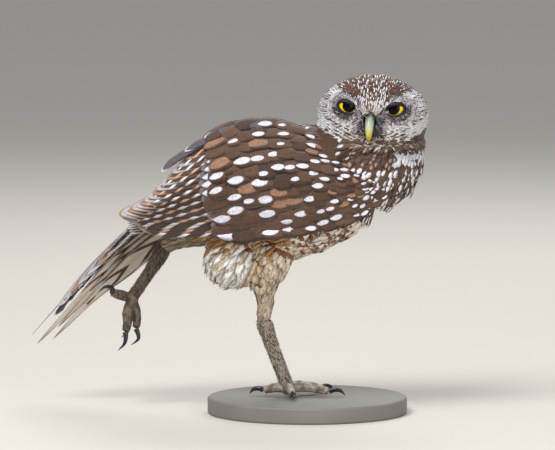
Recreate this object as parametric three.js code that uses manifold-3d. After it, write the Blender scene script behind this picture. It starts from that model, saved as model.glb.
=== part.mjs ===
// A life-size burrowing owl on a round base: it stands on its right leg, its left leg and left
// wing are stretched back, and its head is turned to its right. Millimetres, +Z up, facing +X.
import * as THREE from "three";
import { mergeVertices } from "three/addons/utils/BufferGeometryUtils.js";
import Module from "manifold-3d";

const wasm = await Module();
wasm.setup();

// Fits and thicknesses
const GAP = 0.3; // clearance between neighbouring pieces
const VANE_THICKNESS = 0.6; // flight feathers and coverts
const BASE_RADIUS = 60;
const BASE_HEIGHT = 10;
const BASE_BEVEL = 1.5;
const ANKLE_X = -14; // the standing foot's ankle, from the base's centre

// Body, neck and head. All places below are in the owl's own frame: the ankle of the standing
// leg is at x 0, y 0, and z 0 is the sole of its foot.
const TORSO = {
  path: [
    [-66, 1.5, 107],
    [-54, 1, 110],
    [-38, 0.5, 114],
    [-20, 0, 118],
    [0, 0, 122],
    [22, 0, 128],
    [41, 0, 135],
    [52, 0, 140],
  ],
  sizes: [
    [8, 6],
    [14, 11],
    [21, 23],
    [28, 35],
    [32.5, 40],
    [33.5, 38.5],
    [30, 31],
    [21, 21],
  ],
};
const VENT = { centre: [-26, -2, 88], half: [20.5, 19, 20] }; // the loose down between the legs
const NECK = {
  path: [
    [40, 0, 122],
    [49.5, -0.5, 136],
    [54, -1, 150],
    [54, -2, 162],
  ],
  sizes: [
    [22, 20],
    [32, 31],
    [32, 32],
    [28, 28],
  ],
};
const HEAD_CENTRE = [53.4, -2, 170];
const HEAD_TURN = -5; // degrees about +Z, from facing straight along -Y
const HEAD_NOD = 6; // degrees, face down
const HEAD_LEAN = 2.8; // degrees, its right ear higher
const HEAD_HALF = { across: 34, deep: 28, high: 24.3 };
const CROWN_ROUND = 1.12; // under 1 is boxier, over 1 is more pointed
const JAW_ROUND = 0.45;

// The face, in the head's frame: x across towards its right eye, y out of the face, z up
const EYE = { x: 14.2, y: 13.8, z: 6.2, radius: 8.2, splay: 3 };
const LID_THICKNESS = 1.3;
const EYE_OPENING = { halfWide: 5.5, halfHigh: 3.5, rise: 0.7, slant: 14 };
const EYE_HOLLOW = { depth: 4.6, wide: 8, high: 6.5 };
const BROW = { inner: [4.5, 6.5], outer: [25, 15], height: 2.8, wide: 2.9 };
const BRIDGE = { height: 2, wide: 4, z: -2, high: 7 };
const CHEEK = { height: 1.2, x: 17, wide: 9, z: -11, high: 5 };
const BILL_UPPER = {
  path: [
    [0, 16, 2.6],
    [0, 25.2, 1.0],
    [0, 30.2, -2.4],
    [0, 31.2, -7.2],
    [0, 29.2, -12.6],
  ],
  sizes: [
    [3.1, 3.7],
    [2.9, 3.4],
    [2.5, 2.8],
    [1.8, 2.0],
    [0.6, 0.7],
  ],
};
const BILL_LOWER = {
  path: [
    [0, 15, -4.6],
    [0, 23.4, -7.0],
    [0, 27.8, -9.6],
    [0, 28.6, -11.4],
  ],
  sizes: [
    [2.7, 2.6],
    [2.3, 2.1],
    [1.7, 1.5],
    [0.7, 0.7],
  ],
};
const NOSTRIL = { x: 2.5, y: 27.2, z: 0.2, radius: 0.9 };

// Legs: paths run from the body to the foot
const THIGH_RIGHT = {
  path: [
    [-2, -9, 100],
    [-9, -8, 82],
    [-11.4, -5, 68],
    [-11, -2.5, 57],
    [-13, -1, 44],
  ],
  sizes: [
    [16, 16],
    [14, 13.5],
    [8, 8],
    [5.8, 6],
    [5.0, 5.4],
  ],
};
const TARSUS_RIGHT = {
  path: [
    [-13.4, -1, 49],
    [-9.6, -0.7, 37],
    [-4.6, -0.3, 23],
    [0.4, 0, 10],
    [1.8, 0, 4.6],
  ],
  sizes: [
    [5.2, 5.4],
    [4.1, 4.5],
    [3.7, 4.0],
    [3.8, 4.0],
    [4.2, 4.2],
  ],
};
const THIGH_LEFT = {
  path: [
    [-22, 12, 107],
    [-39, 15, 99.5],
    [-54, 18, 95.5],
    [-66, 20, 92],
    [-73.5, 21, 87],
  ],
  sizes: [
    [13, 13],
    [11, 10.5],
    [8.4, 8.4],
    [6.6, 6.8],
    [5.2, 5.6],
  ],
};
const TARSUS_LEFT = {
  path: [
    [-70.4, 20.6, 92],
    [-76, 21.6, 81],
    [-83.4, 23.4, 69.5],
    [-90, 25, 59.5],
    [-92, 25.4, 56.6],
  ],
  sizes: [
    [5.2, 5.4],
    [4.4, 4.7],
    [3.3, 3.5],
    [3.5, 3.7],
    [3.9, 3.9],
  ],
};

// Toes, each a path from the ankle to the root of its claw, and its claw's path
const TOES_RIGHT = {
  ankle: [2, 0, 4.4],
  toes: [
    { to: [-12.5, 1.6, 2.9], arch: 1.6, radius: 2.7, claw: [-8.2, 0.9], drop: 2.1 },
    { to: [22.5, 12.5, 2.9], arch: 2.4, radius: 2.75, claw: [8.0, 4.4], drop: 2.1 },
    { to: [27.5, -4.2, 2.9], arch: 2.6, radius: 2.8, claw: [9.2, -1.6], drop: 2.1 },
    { to: [5.2, -20.5, 2.9], arch: 2.2, radius: 2.65, claw: [1.0, -8.2], drop: 2.1 },
  ],
};
const TOES_LEFT = {
  ankle: [-92, 25.2, 56],
  toes: [
    {
      path: [[-98, 20, 58.6], [-103.6, 15.6, 60.4]],
      claw: [[-103.4, 15.4, 63.4], [-107.6, 11.6, 64.6], [-112.6, 8.4, 61.2]],
      radius: 2.7,
    },
    {
      path: [[-94.8, 21.6, 48.4], [-94.6, 19.2, 41.4], [-96, 17.6, 36.4]],
      claw: [[-95.6, 17.2, 34.2], [-96.4, 16.4, 29.6], [-100.4, 15.8, 25.4]],
      radius: 2.9,
    },
    {
      path: [[-90, 26.4, 50], [-89, 26, 43], [-89.8, 25.4, 37.6]],
      claw: [[-88.8, 25.2, 35.6], [-88.2, 24.8, 31.6], [-92.6, 24.4, 27.8]],
      radius: 2.7,
    },
    {
      path: [[-92.6, 31, 51], [-93.4, 34.6, 45.4], [-94, 36.4, 40.4]],
      claw: [[-94.4, 37, 37.8], [-95.6, 37.4, 34], [-99, 37.4, 31]],
      radius: 2.6,
    },
  ],
};
const TOE_PAD = 1.22; // how far a pad swells past its toe
const CLAW_ROOT = 1.55; // half thickness where a claw leaves its toe
const CLAW_ARCH = 1.3; // how far a standing claw rises over its root
const HEEL_RADIUS = 4.3;

// A wing is a curved sheet between two edges, from the shoulder (0) to the tip (1)
const WING_RIGHT = {
  outward: -1,
  lower: [
    [63, -23, 126],
    [43, -31, 112],
    [14, -33.5, 105],
    [-20, -31.5, 102.5],
    [-50, -27, 102],
    [-78, -20, 104.5],
    [-98.5, -13.5, 110],
  ],
  upper: [
    [61, -20, 138],
    [33, -15, 151],
    [2, -10, 163],
    [-26, -11.5, 163],
    [-53, -14.5, 150.5],
    [-77, -15.5, 131.5],
    [-99, -13.5, 111.5],
  ],
  bulge: [[3, 0], [8, 1], [14, 3], [14.5, 4], [10, 3], [4, 1.5], [0.5, 0.5]],
};
const WING_LEFT = {
  outward: 1,
  lower: [
    [58, 25, 126],
    [38, 34, 113],
    [8, 41, 105],
    [-28, 48, 103],
    [-64, 55, 93.5],
    [-106, 62, 61.5],
    [-149, 66, 20],
  ],
  upper: [
    [57, 20, 140],
    [28, 18, 153],
    [-8, 23, 156],
    [-44, 30, 138],
    [-78, 33, 110],
    [-116, 36, 73],
    [-160, 46, 25],
  ],
  bulge: [[4, 0], [9, 1], [13, 4], [12, 6], [8, 9], [6, 9], [4, 5]],
};

// A vane's share of its full width at places along it
const VANE_STATIONS = [0, 0.42, 0.78, 0.94, 1];
const BLUNT = [0.5, 0.95, 0.95, 0.66, 0.2];
const FINGERED = [0.5, 0.95, 0.56, 0.32, 0.1];

// Tiers of feathers. Roots and tips are [along, across] on the sheet, listed from the outermost
// feather to the innermost one; fingers are the tips of the first few, where these stand apart,
// and lift is how far a root and a tip stand off the sheet.
const TIERS_RIGHT = [
  {
    count: 15, width: 13, lift: [-5, 0], outline: BLUNT,
    root: [[0.46, 0.1], [0.4, 0.5], [0.34, 0.9]],
    tip: [[0.92, 0.0], [0.99, 0.3], [0.93, 0.5], [0.85, 0.6], [0.8, 0.75], [0.72, 0.93]],
  },
  {
    count: 7, width: 15, lift: [-5, 2.6], outline: BLUNT,
    root: [[0.22, 0.14], [0.22, 0.5], [0.2, 0.86]],
    tip: [[0.6, 0.12], [0.62, 0.5], [0.56, 0.86]],
  },
  {
    count: 7, width: 16, lift: [-4, 3.2], outline: BLUNT,
    root: [[0.1, 0.14], [0.1, 0.5], [0.1, 0.86]],
    tip: [[0.32, 0.14], [0.34, 0.5], [0.3, 0.86]],
  },
];
const TIERS_LEFT = [
  {
    count: 15, width: 13, lift: [-5, 0], outline: FINGERED,
    root: [[0.46, 0.1], [0.42, 0.5], [0.34, 0.9]],
    fingers: [[0.972, 0.0], [1.0, 0.22], [0.94, 0.45], [0.98, 0.9]],
    tip: [[0.92, 0.95], [0.86, 1.0], [0.77, 1.0], [0.67, 1.0], [0.58, 1.0]],
  },
  {
    count: 7, width: 15, lift: [-5, 2.6], outline: BLUNT,
    root: [[0.22, 0.14], [0.22, 0.5], [0.2, 0.86]],
    tip: [[0.6, 0.12], [0.6, 0.5], [0.52, 0.86]],
  },
  {
    count: 7, width: 16, lift: [-4, 3.2], outline: BLUNT,
    root: [[0.1, 0.14], [0.1, 0.5], [0.1, 0.86]],
    tip: [[0.32, 0.14], [0.33, 0.5], [0.29, 0.86]],
  },
];
const WING_PAD = { from: 0.015, to: 0.62, low: 0.02, high: 0.98, sunk: 2.4, depth: 10 };
const STEEPEST = 34; // degrees a vane may lean against its neighbour

// The tail is a short fan, its right side a little lower; its outward side is its top
const TAIL = {
  outward: -1,
  lower: [[-30, -7, 115], [-62, -9, 104.5], [-96, -11, 97.5]],
  upper: [[-30, 7, 118.5], [-62, 14, 109.5], [-96, 22, 105]],
  bulge: [[0, 2], [0, 3], [0, 3]],
};
const TAIL_TIERS = [
  {
    count: 9, width: 12, lift: [-2, 0], outline: BLUNT,
    root: [[0.16, 0.3], [0.16, 0.7]],
    tip: [[0.94, 0.02], [1, 0.5], [0.94, 0.98]],
  },
];
const TAIL_ROOT = {
  path: [[-40, 0, 114.5], [-56, 1.6, 109], [-66, 2.4, 105.6], [-74, 3, 103.6]],
  sizes: [[13, 8], [12.5, 6.5], [11.5, 4.6], [9.5, 2.4]],
};

// Colours
const BROWN = 0x5b4234;
const PALE = 0xcbb79d;
const LEG_SKIN = 0x8a7a68;
const HORN = 0x1c1b20;
const BILL_HORN = 0xb9b56a;
const EYE_YELLOW = 0xd9b51c;
const BASE_PAINT = 0x6d6a66;

const vector = (p) => new THREE.Vector3(...p);
const spline = (points) => new THREE.CatmullRomCurve3(points.map(vector));
const pairSpline = (pairs) => spline(pairs.map(([a, b]) => [a, b, 0]));
const mix = (a, b, t) => a + (b - a) * t;
const bell = (d, width) => Math.exp(-(d * d) / (2 * width * width));

// A closed geometry as a manifold solid, its faces turned out.
function solidOf(geometry) {
  const bare = new THREE.BufferGeometry()
    .setAttribute("position", geometry.getAttribute("position"))
    .setIndex(geometry.index);
  const merged = mergeVertices(bare, 1e-4);
  const triVerts = new Uint32Array(merged.index.array);
  const build = () => new wasm.Manifold(new wasm.Mesh({
    numProp: 3,
    vertProperties: merged.attributes.position.array,
    triVerts,
  }));
  const made = build();
  if (made.volume() >= 0) return made;
  for (let i = 0; i < triVerts.length; i += 3)
    [triVerts[i + 1], triVerts[i + 2]] = [triVerts[i + 2], triVerts[i + 1]];
  return build();
}

const union = (solids) => solids.reduce((all, s) => all.add(s));
const cut = (solid, tools) => tools.reduce((rest, t) => rest.subtract(t), solid);

// Only the largest closed surface of a solid, so that no scrap or sealed hollow stays.
function largest(solid) {
  const parts = solid.decompose().filter((p) => p.volume() > 0);
  return parts.reduce((best, p) => (p.volume() > best.volume() ? p : best));
}

function meshOf(name, solid, colour, roughness = 0.8) {
  const kept = largest(solid);
  const { numProp, numVert, vertProperties, triVerts } = kept.getMesh();
  const places = new Float32Array(numVert * 3);
  for (let i = 0; i < numVert; i++)
    places.set(vertProperties.subarray(i * numProp, i * numProp + 3), i * 3);
  const geometry = new THREE.BufferGeometry()
    .setAttribute("position", new THREE.BufferAttribute(places, 3))
    .setIndex(new THREE.BufferAttribute(triVerts, 1));
  geometry.computeVertexNormals();
  const material = new THREE.MeshStandardMaterial({ color: colour, roughness, metalness: 0 });
  const mesh = new THREE.Mesh(geometry, material);
  mesh.name = name;
  return mesh;
}

// A geometry from rings of points between two end points.
function skinOf(rings, first, last) {
  const sides = rings[0].length;
  const places = [...rings.flat(), first, last].flatMap((p) => [p.x, p.y, p.z]);
  const firstAt = rings.length * sides;
  const index = [];
  for (let j = 0; j < sides; j++) {
    const next = (j + 1) % sides;
    index.push(firstAt, next, j);
    index.push(firstAt + 1, firstAt - sides + j, firstAt - sides + next);
    for (let k = 0; k + 1 < rings.length; k++) {
      const a = k * sides + j;
      const b = k * sides + next;
      // A vane's two faces are split along the same diagonal
      if (sides === 4 && j === 2) index.push(a, b, b + sides, a, b + sides, a + sides);
      else index.push(a, b, a + sides, b, b + sides, a + sides);
    }
  }
  return new THREE.BufferGeometry()
    .setAttribute("position", new THREE.Float32BufferAttribute(places, 3))
    .setIndex(index);
}

const middleOf = (ring) =>
  ring.reduce((sum, p) => sum.add(p), new THREE.Vector3()).divideScalar(ring.length);

// A round-ended sweep along a path, with its half width and half height at each point.
function sweep({ path, sizes }, { sides = 12, steps = 10, grow = 0, across = [0, 1, 0], round = 0.12 } = {}) {
  const line = spline(path);
  const size = pairSpline(sizes);
  const wanted = vector(across);
  const rings = [];
  for (let i = 1; i < steps; i++) {
    const t = (1 - Math.cos((Math.PI * i) / steps)) / 2;
    const along = line.getTangent(t);
    const side = wanted.clone().addScaledVector(along, -wanted.dot(along)).normalize();
    const up = along.clone().cross(side);
    const edge = Math.min(1, Math.min(t, 1 - t) / round);
    const full = Math.sqrt(1 - (1 - edge) ** 2);
    const half = size.getPoint(t);
    rings.push(Array.from({ length: sides }, (_, j) => {
      const turn = (2 * Math.PI * j) / sides;
      return line.getPoint(t)
        .addScaledVector(side, (half.x * full + grow) * Math.cos(turn))
        .addScaledVector(up, (half.y * full + grow) * Math.sin(turn));
    }));
  }
  const first = line.getPoint(0).addScaledVector(line.getTangent(0), -grow);
  const last = line.getPoint(1).addScaledVector(line.getTangent(1), grow);
  return solidOf(skinOf(rings, first, last));
}

// The head's own frame, as a matrix
const headFrame = new THREE.Matrix4()
  .makeTranslation(...HEAD_CENTRE)
  .multiply(new THREE.Matrix4().makeRotationY(THREE.MathUtils.degToRad(HEAD_LEAN)))
  .multiply(new THREE.Matrix4().makeRotationZ(THREE.MathUtils.degToRad(HEAD_TURN)))
  .multiply(new THREE.Matrix4().makeRotationZ(Math.PI))
  .multiply(new THREE.Matrix4().makeRotationX(THREE.MathUtils.degToRad(-HEAD_NOD)));
const inHead = (solid) => solid.transform(headFrame.elements);

// How far the plumage of the face stands out of the plain head at a place across and up.
function faceRelief(x, z) {
  const side = Math.abs(x);
  const hollow = -EYE_HOLLOW.depth * bell(side - EYE.x, EYE_HOLLOW.wide) * bell(z - EYE.z + 2, EYE_HOLLOW.high);
  const [ix, iz] = BROW.inner;
  const [ox, oz] = BROW.outer;
  const share = THREE.MathUtils.clamp(
    ((side - ix) * (ox - ix) + (z - iz) * (oz - iz)) / ((ox - ix) ** 2 + (oz - iz) ** 2), 0, 1);
  const offLine = Math.hypot(side - mix(ix, ox, share), z - mix(iz, oz, share));
  const brow = BROW.height * bell(offLine, BROW.wide) * mix(1, 0.4, share);
  const bridge = BRIDGE.height * bell(side, BRIDGE.wide) * bell(z - BRIDGE.z, BRIDGE.high);
  const cheek = CHEEK.height * bell(side - CHEEK.x, CHEEK.wide) * bell(z - CHEEK.z, CHEEK.high);
  return hollow + brow + bridge + cheek;
}

// The plain head is a dome with a fuller jaw, and its face carries the relief.
function headShape(grow) {
  const { across, deep, high } = HEAD_HALF;
  const ball = new THREE.SphereGeometry(1, 26, 16);
  const place = ball.getAttribute("position");
  for (let i = 0; i < place.count; i++) {
    const z = place.getY(i);
    const ring = Math.max(1e-3, Math.sqrt(Math.max(0, 1 - z * z)));
    const fuller = ring ** ((z > 0 ? CROWN_ROUND : mix(1, JAW_ROUND, Math.min(1, -z * 2))) - 1);
    const x = place.getX(i) * fuller * (across + grow);
    const y = -place.getZ(i) * fuller * (deep + grow);
    const front = THREE.MathUtils.smoothstep(y, 4, 14);
    place.setXYZ(i, x, y + front * faceRelief(x, z * high), z * (high + grow));
  }
  return inHead(solidOf(ball));
}

function eyeball(side, grow) {
  const ball = new THREE.SphereGeometry(EYE.radius + grow, 14, 9);
  ball.translate(side * EYE.x, EYE.y, EYE.z);
  return inHead(solidOf(ball));
}

// The opening between the lids, a slanted oval that runs forward from the eyeball's middle.
function lidOpening(side) {
  const length = 24;
  const tube = new THREE.CylinderGeometry(1, 1, length, 14);
  tube.scale(EYE_OPENING.halfWide, 1, EYE_OPENING.halfHigh);
  tube.translate(0, length / 2, 0);
  tube.rotateY(THREE.MathUtils.degToRad(-side * EYE_OPENING.slant));
  tube.rotateZ(THREE.MathUtils.degToRad(-side * EYE.splay));
  tube.translate(side * EYE.x, EYE.y, EYE.z + EYE_OPENING.rise);
  return inHead(solidOf(tube));
}

function nostril(side) {
  const pit = new THREE.SphereGeometry(NOSTRIL.radius, 10, 8);
  pit.translate(side * NOSTRIL.x, NOSTRIL.y, NOSTRIL.z);
  return inHead(solidOf(pit));
}

const billFine = { sides: 10, steps: 9, across: [1, 0, 0], round: 0.14 };
const billUpper = (grow) => inHead(sweep(BILL_UPPER, { ...billFine, grow }));
const billLower = (grow) => inHead(sweep(BILL_LOWER, { ...billFine, steps: 6, grow }));

// A point on a wing's or tail's sheet, which bows outward and up between its two edges, and the
// direction that its outer face looks in.
function sheetOf({ lower, upper, bulge, outward }) {
  const low = spline(lower);
  const high = spline(upper);
  const bow = pairSpline(bulge);
  const place = (along, across) => {
    const s = THREE.MathUtils.clamp(along, 0, 1);
    const arc = Math.sin(Math.PI * THREE.MathUtils.clamp(across, 0, 1));
    const b = bow.getPoint(s);
    const p = low.getPoint(s).lerp(high.getPoint(s), across);
    p.y += outward * b.x * arc;
    p.z += b.y * arc;
    return p;
  };
  const normal = (along, across) => {
    const d = 0.01;
    const s = THREE.MathUtils.clamp(along, d, 1 - 2 * d);
    const a = place(s + d, across).sub(place(s - d, across));
    const b = place(s, across + d).sub(place(s, across - d));
    return a.cross(b).multiplyScalar(outward).normalize();
  };
  return { place, normal };
}

// One vane: a thin plate, narrow at its root and round at its tip, laid along the sheet and
// leaning on the next one, so that the vanes of a tier lie like tiles.
function vane(sheet, own, next, { width, lift, outline }, turned) {
  const at = ({ root, tip }, t) => [mix(root.x, tip.x, t), mix(root.y, tip.y, t)];
  const centre = (feather, t) => {
    const rise = 1 - (1 - t) ** 3;
    return sheet.place(...at(feather, t))
      .addScaledVector(sheet.normal(...at(feather, t)), mix(lift[0], lift[1], rise));
  };
  const rings = VANE_STATIONS.map((t, k) => {
    const here = centre(own, t);
    const along = centre(own, Math.min(1, t + 0.05)).sub(centre(own, Math.max(0, t - 0.05))).normalize();
    const out = sheet.normal(...at(own, t));
    const side = out.clone().cross(along).normalize();
    const spacing = Math.max(1e-3, Math.abs(centre(next, t).sub(here).dot(side)));
    const steepest = THREE.MathUtils.degToRad(STEEPEST);
    const lean = turned * Math.min(steepest, Math.atan((VANE_THICKNESS * 1.3) / spacing));
    const edge = side.clone().multiplyScalar(Math.cos(lean)).addScaledVector(out, Math.sin(lean));
    const face = along.clone().cross(edge).normalize();
    const half = (width * outline[k]) / 2;
    return [[-1, 1], [1, 1], [1, -1], [-1, -1]].map(([e, f]) => here.clone()
      .addScaledVector(edge, e * half)
      .addScaledVector(face, (f * VANE_THICKNESS) / 2));
  });
  return solidOf(skinOf(rings, middleOf(rings[0]), middleOf(rings[rings.length - 1])));
}

// A row of vanes, from the outermost to the innermost.
function tier(sheet, row, turned) {
  const roots = pairSpline(row.root);
  const tips = pairSpline(row.tip);
  const fingers = row.fingers ?? [];
  const feather = (i) => ({
    root: roots.getPoint(i / (row.count - 1)),
    tip: i < fingers.length
      ? new THREE.Vector3(...fingers[i], 0)
      : tips.getPoint((i - fingers.length) / (row.count - 1 - fingers.length)),
  });
  return Array.from({ length: row.count }, (_, i) =>
    vane(sheet, feather(i), feather(i + 1 < row.count ? i + 1 : i - 1), row, turned));
}

// The fleshy part of a folded wing: a slab of the sheet that its feathers root in.
function wingPad(sheet) {
  const { from, to, low, high, sunk, depth } = WING_PAD;
  const stations = 8;
  const steps = 5;
  const rings = Array.from({ length: stations }, (_, i) => {
    const s = mix(from, to, i / (stations - 1));
    const thin = Math.min(1, (stations - 1 - i) / 3 + 0.2, i / 2 + 0.3);
    const at = (w, h) => sheet.place(s, w).addScaledVector(sheet.normal(s, w), h);
    const share = (j) => mix(low, high, j / (steps - 1));
    const outer = Array.from({ length: steps }, (_, j) => at(share(j), -sunk - (1 - thin) * 2));
    const inner = Array.from({ length: steps }, (_, j) =>
      at(share(steps - 1 - j), -sunk - (1 - thin) * 2 - depth * thin));
    return [...outer, ...inner];
  });
  return solidOf(skinOf(rings, middleOf(rings[0]), middleOf(rings[rings.length - 1])));
}

function wing(shape, tiers, clearOf) {
  const sheet = sheetOf(shape);
  const feathers = tiers.flatMap((row) => tier(sheet, row, -shape.outward));
  return cut(union([wingPad(sheet), ...feathers]), clearOf);
}

const tailRoot = (grow) => sweep(TAIL_ROOT, { sides: 16, steps: 9, grow });

function tail(clearOf) {
  const sheet = sheetOf(TAIL);
  const feathers = TAIL_TIERS.flatMap((row) => tier(sheet, row, -TAIL.outward));
  return cut(union([tailRoot(0), ...feathers]), clearOf);
}

// A toe on the ground: an arched path from the ankle, swelling at each of its pads.
function groundToe(ankle, { to, arch }) {
  const [ax, ay, az] = ankle;
  return [0, 0.3, 0.65, 1].map((t) => [
    mix(ax, to[0], t), mix(ay, to[1], t), mix(az, to[2], t) + arch * Math.sin(Math.PI * t) * (1 - t * 0.6)]);
}

function toeSolid(path, radius, grow = 0) {
  const pads = path.map((_, i) => (i === path.length - 1 ? 1 : i % 2 ? TOE_PAD : 1.05));
  const sizes = pads.map((p) => [radius * p * 0.94, radius * p]);
  const across = Math.abs(path[path.length - 1][0] - path[0][0]) > 8 ? [0, 1, 0] : [1, 0, 0];
  return sweep({ path, sizes }, { sides: 8, steps: 7, grow, across, round: 0.1 });
}

function clawSolid(path) {
  const sizes = path.map((_, i) => {
    const t = i / (path.length - 1);
    return [CLAW_ROOT * mix(1, 0.2, t), CLAW_ROOT * mix(1.1, 0.22, t)];
  });
  return sweep({ path, sizes }, { sides: 6, steps: 6, across: [0.3, 1, 0.2], round: 0.06 });
}

// A foot's toes and claws as paths, whichever way they are given
function toePaths(foot) {
  return foot.toes.map((toe) => {
    if (toe.path)
      return { path: [foot.ankle, ...toe.path], claw: [toe.path[toe.path.length - 1], ...toe.claw], radius: toe.radius };
    const [x, y, z] = toe.to;
    const [dx, dy] = toe.claw;
    return {
      path: groundToe(foot.ankle, toe),
      claw: [
        [x, y, z + 0.4],
        [x + dx * 0.35, y + dy * 0.35, z + CLAW_ARCH],
        [x + dx * 0.75, y + dy * 0.75, z + CLAW_ARCH * 0.3],
        [x + dx, y + dy, z - toe.drop],
      ],
      radius: toe.radius,
    };
  });
}

// The sole is cut flat where the standing foot meets the base.
function belowSole() {
  const slab = new THREE.BoxGeometry(200, 200, 20);
  slab.translate(0, 0, -10);
  return solidOf(slab);
}

function foot(side, shape, tarsusGrown) {
  const made = toePaths(shape);
  const toes = made.map((t) => toeSolid(t.path, t.radius));
  const heel = new THREE.SphereGeometry(HEEL_RADIUS, 10, 8);
  heel.translate(...shape.ankle);
  const grown = union(made.map((t) => toeSolid(t.path, t.radius, GAP)));
  const sole = side === "right" ? [belowSole()] : [];
  const pieces = [meshOf(`foot_${side}`, cut(union([solidOf(heel), ...toes]), [tarsusGrown, ...sole]), LEG_SKIN)];
  made.forEach((t, i) =>
    pieces.push(meshOf(`claw_${side}_${i + 1}`, cut(clawSolid(t.claw), [grown, ...sole]), HORN, 0.35)));
  return pieces;
}

function standBase() {
  const r = BASE_RADIUS;
  const top = BASE_HEIGHT;
  const profile = [[0, 0], [r - BASE_BEVEL, 0], [r, BASE_BEVEL], [r, top - BASE_BEVEL], [r - BASE_BEVEL, top], [0, top]];
  const disc = new THREE.LatheGeometry(profile.map(([x, y]) => new THREE.Vector2(x, y)), 40);
  disc.rotateX(Math.PI / 2);
  return solidOf(disc);
}

// The body's own shape, with the down under its tail.
function trunk(grow) {
  const down = new THREE.SphereGeometry(1, 14, 9);
  down.scale(...VENT.half.map((h) => h + grow));
  down.translate(...VENT.centre);
  return sweep(TORSO, { ...bodyFine, grow }).add(solidOf(down));
}

const bodyFine = { sides: 22, steps: 13, round: 0.1 };
const neckFine = { sides: 22, steps: 7, round: 0.2 };
const limbFine = { sides: 12, steps: 9, round: 0.1 };
const torsoGrown = trunk(GAP);
const headGrown = union([headShape(GAP), ...[-1, 1].map((side) => eyeball(side, 2 * GAP + LID_THICKNESS))]);
const neckGrown = sweep(NECK, { ...neckFine, grow: GAP });
const thighRightGrown = sweep(THIGH_RIGHT, { ...limbFine, grow: GAP });
const thighLeftGrown = sweep(THIGH_LEFT, { ...limbFine, grow: GAP });
const tarsusRightGrown = sweep(TARSUS_RIGHT, { ...limbFine, grow: GAP });
const tarsusLeftGrown = sweep(TARSUS_LEFT, { ...limbFine, grow: GAP });
const tailGrown = tailRoot(GAP);

const headAndBill = [headGrown, billUpper(GAP), billLower(GAP)];

function torsoSolid() {
  return cut(trunk(0), headAndBill);
}

function neckSolid() {
  return cut(sweep(NECK, neckFine), [torsoGrown, ...headAndBill]);
}

function headSolid() {
  const sides = [-1, 1];
  const lids = sides.map((s) => eyeball(s, GAP + LID_THICKNESS));
  const holes = sides.flatMap((s) => [eyeball(s, GAP), lidOpening(s)]);
  return cut(union([headShape(0), ...lids]), [...holes, billUpper(GAP), billLower(GAP)]);
}

const owl = new THREE.Group();
owl.position.set(ANKLE_X, 0, BASE_HEIGHT + GAP);
owl.add(
  meshOf("torso", torsoSolid(), BROWN),
  meshOf("neck", neckSolid(), PALE),
  meshOf("head", headSolid(), BROWN),
  meshOf("bill_upper", cut(billUpper(0), [nostril(-1), nostril(1)]), BILL_HORN, 0.4),
  meshOf("bill_lower", cut(billLower(0), [billUpper(GAP)]), BILL_HORN, 0.4),
  meshOf("eye_right", eyeball(1, 0), EYE_YELLOW, 0.1),
  meshOf("eye_left", eyeball(-1, 0), EYE_YELLOW, 0.1),
  meshOf("wing_right", wing(WING_RIGHT, TIERS_RIGHT, [torsoGrown, neckGrown, ...headAndBill, thighRightGrown]), BROWN),
  meshOf("wing_left", wing(WING_LEFT, TIERS_LEFT, [torsoGrown, neckGrown, headGrown, thighLeftGrown, tailGrown]), BROWN),
  meshOf("tail", tail([torsoGrown, thighLeftGrown]), BROWN),
  meshOf("thigh_right", cut(sweep(THIGH_RIGHT, limbFine), [torsoGrown]), PALE),
  meshOf("thigh_left", cut(sweep(THIGH_LEFT, limbFine), [torsoGrown]), PALE),
  meshOf("tarsus_right", cut(sweep(TARSUS_RIGHT, limbFine), [thighRightGrown, belowSole()]), LEG_SKIN),
  meshOf("tarsus_left", cut(sweep(TARSUS_LEFT, limbFine), [thighLeftGrown]), LEG_SKIN),
  ...foot("right", TOES_RIGHT, tarsusRightGrown),
  ...foot("left", TOES_LEFT, tarsusLeftGrown),
);

const model = new THREE.Group();
model.add(owl, meshOf("stand_base", standBase(), BASE_PAINT));

export default model;
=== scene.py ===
"""A life-size burrowing owl on a round base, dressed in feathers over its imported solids."""

import math

import bpy
import numpy as np
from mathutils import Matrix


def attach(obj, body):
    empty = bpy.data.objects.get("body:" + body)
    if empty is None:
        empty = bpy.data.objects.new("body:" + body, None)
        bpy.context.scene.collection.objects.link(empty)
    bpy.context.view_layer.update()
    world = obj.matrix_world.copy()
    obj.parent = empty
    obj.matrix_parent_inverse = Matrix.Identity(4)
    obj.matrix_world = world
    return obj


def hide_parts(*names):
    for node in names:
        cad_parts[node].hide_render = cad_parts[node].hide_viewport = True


bl_info = {
    "name": "Burrowing owl",
    "version": (1, 0, 0),
    "blender": (4, 5, 0),
    "location": "View3D > Sidebar > Owl",
    "description": "Builds a still burrowing owl, feather by feather, over its solids",
    "category": "Add Mesh",
}

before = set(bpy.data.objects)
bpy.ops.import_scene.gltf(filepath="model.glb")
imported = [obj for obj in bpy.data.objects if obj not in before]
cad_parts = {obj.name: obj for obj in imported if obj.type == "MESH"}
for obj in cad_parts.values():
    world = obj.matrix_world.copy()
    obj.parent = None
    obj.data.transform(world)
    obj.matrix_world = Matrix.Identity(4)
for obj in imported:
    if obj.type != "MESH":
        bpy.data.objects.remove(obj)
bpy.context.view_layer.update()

MM = 0.001
ANKLE = np.array([-14.0, 0.0, 10.3])  # where the standing foot's ankle is on the base, mm

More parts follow.
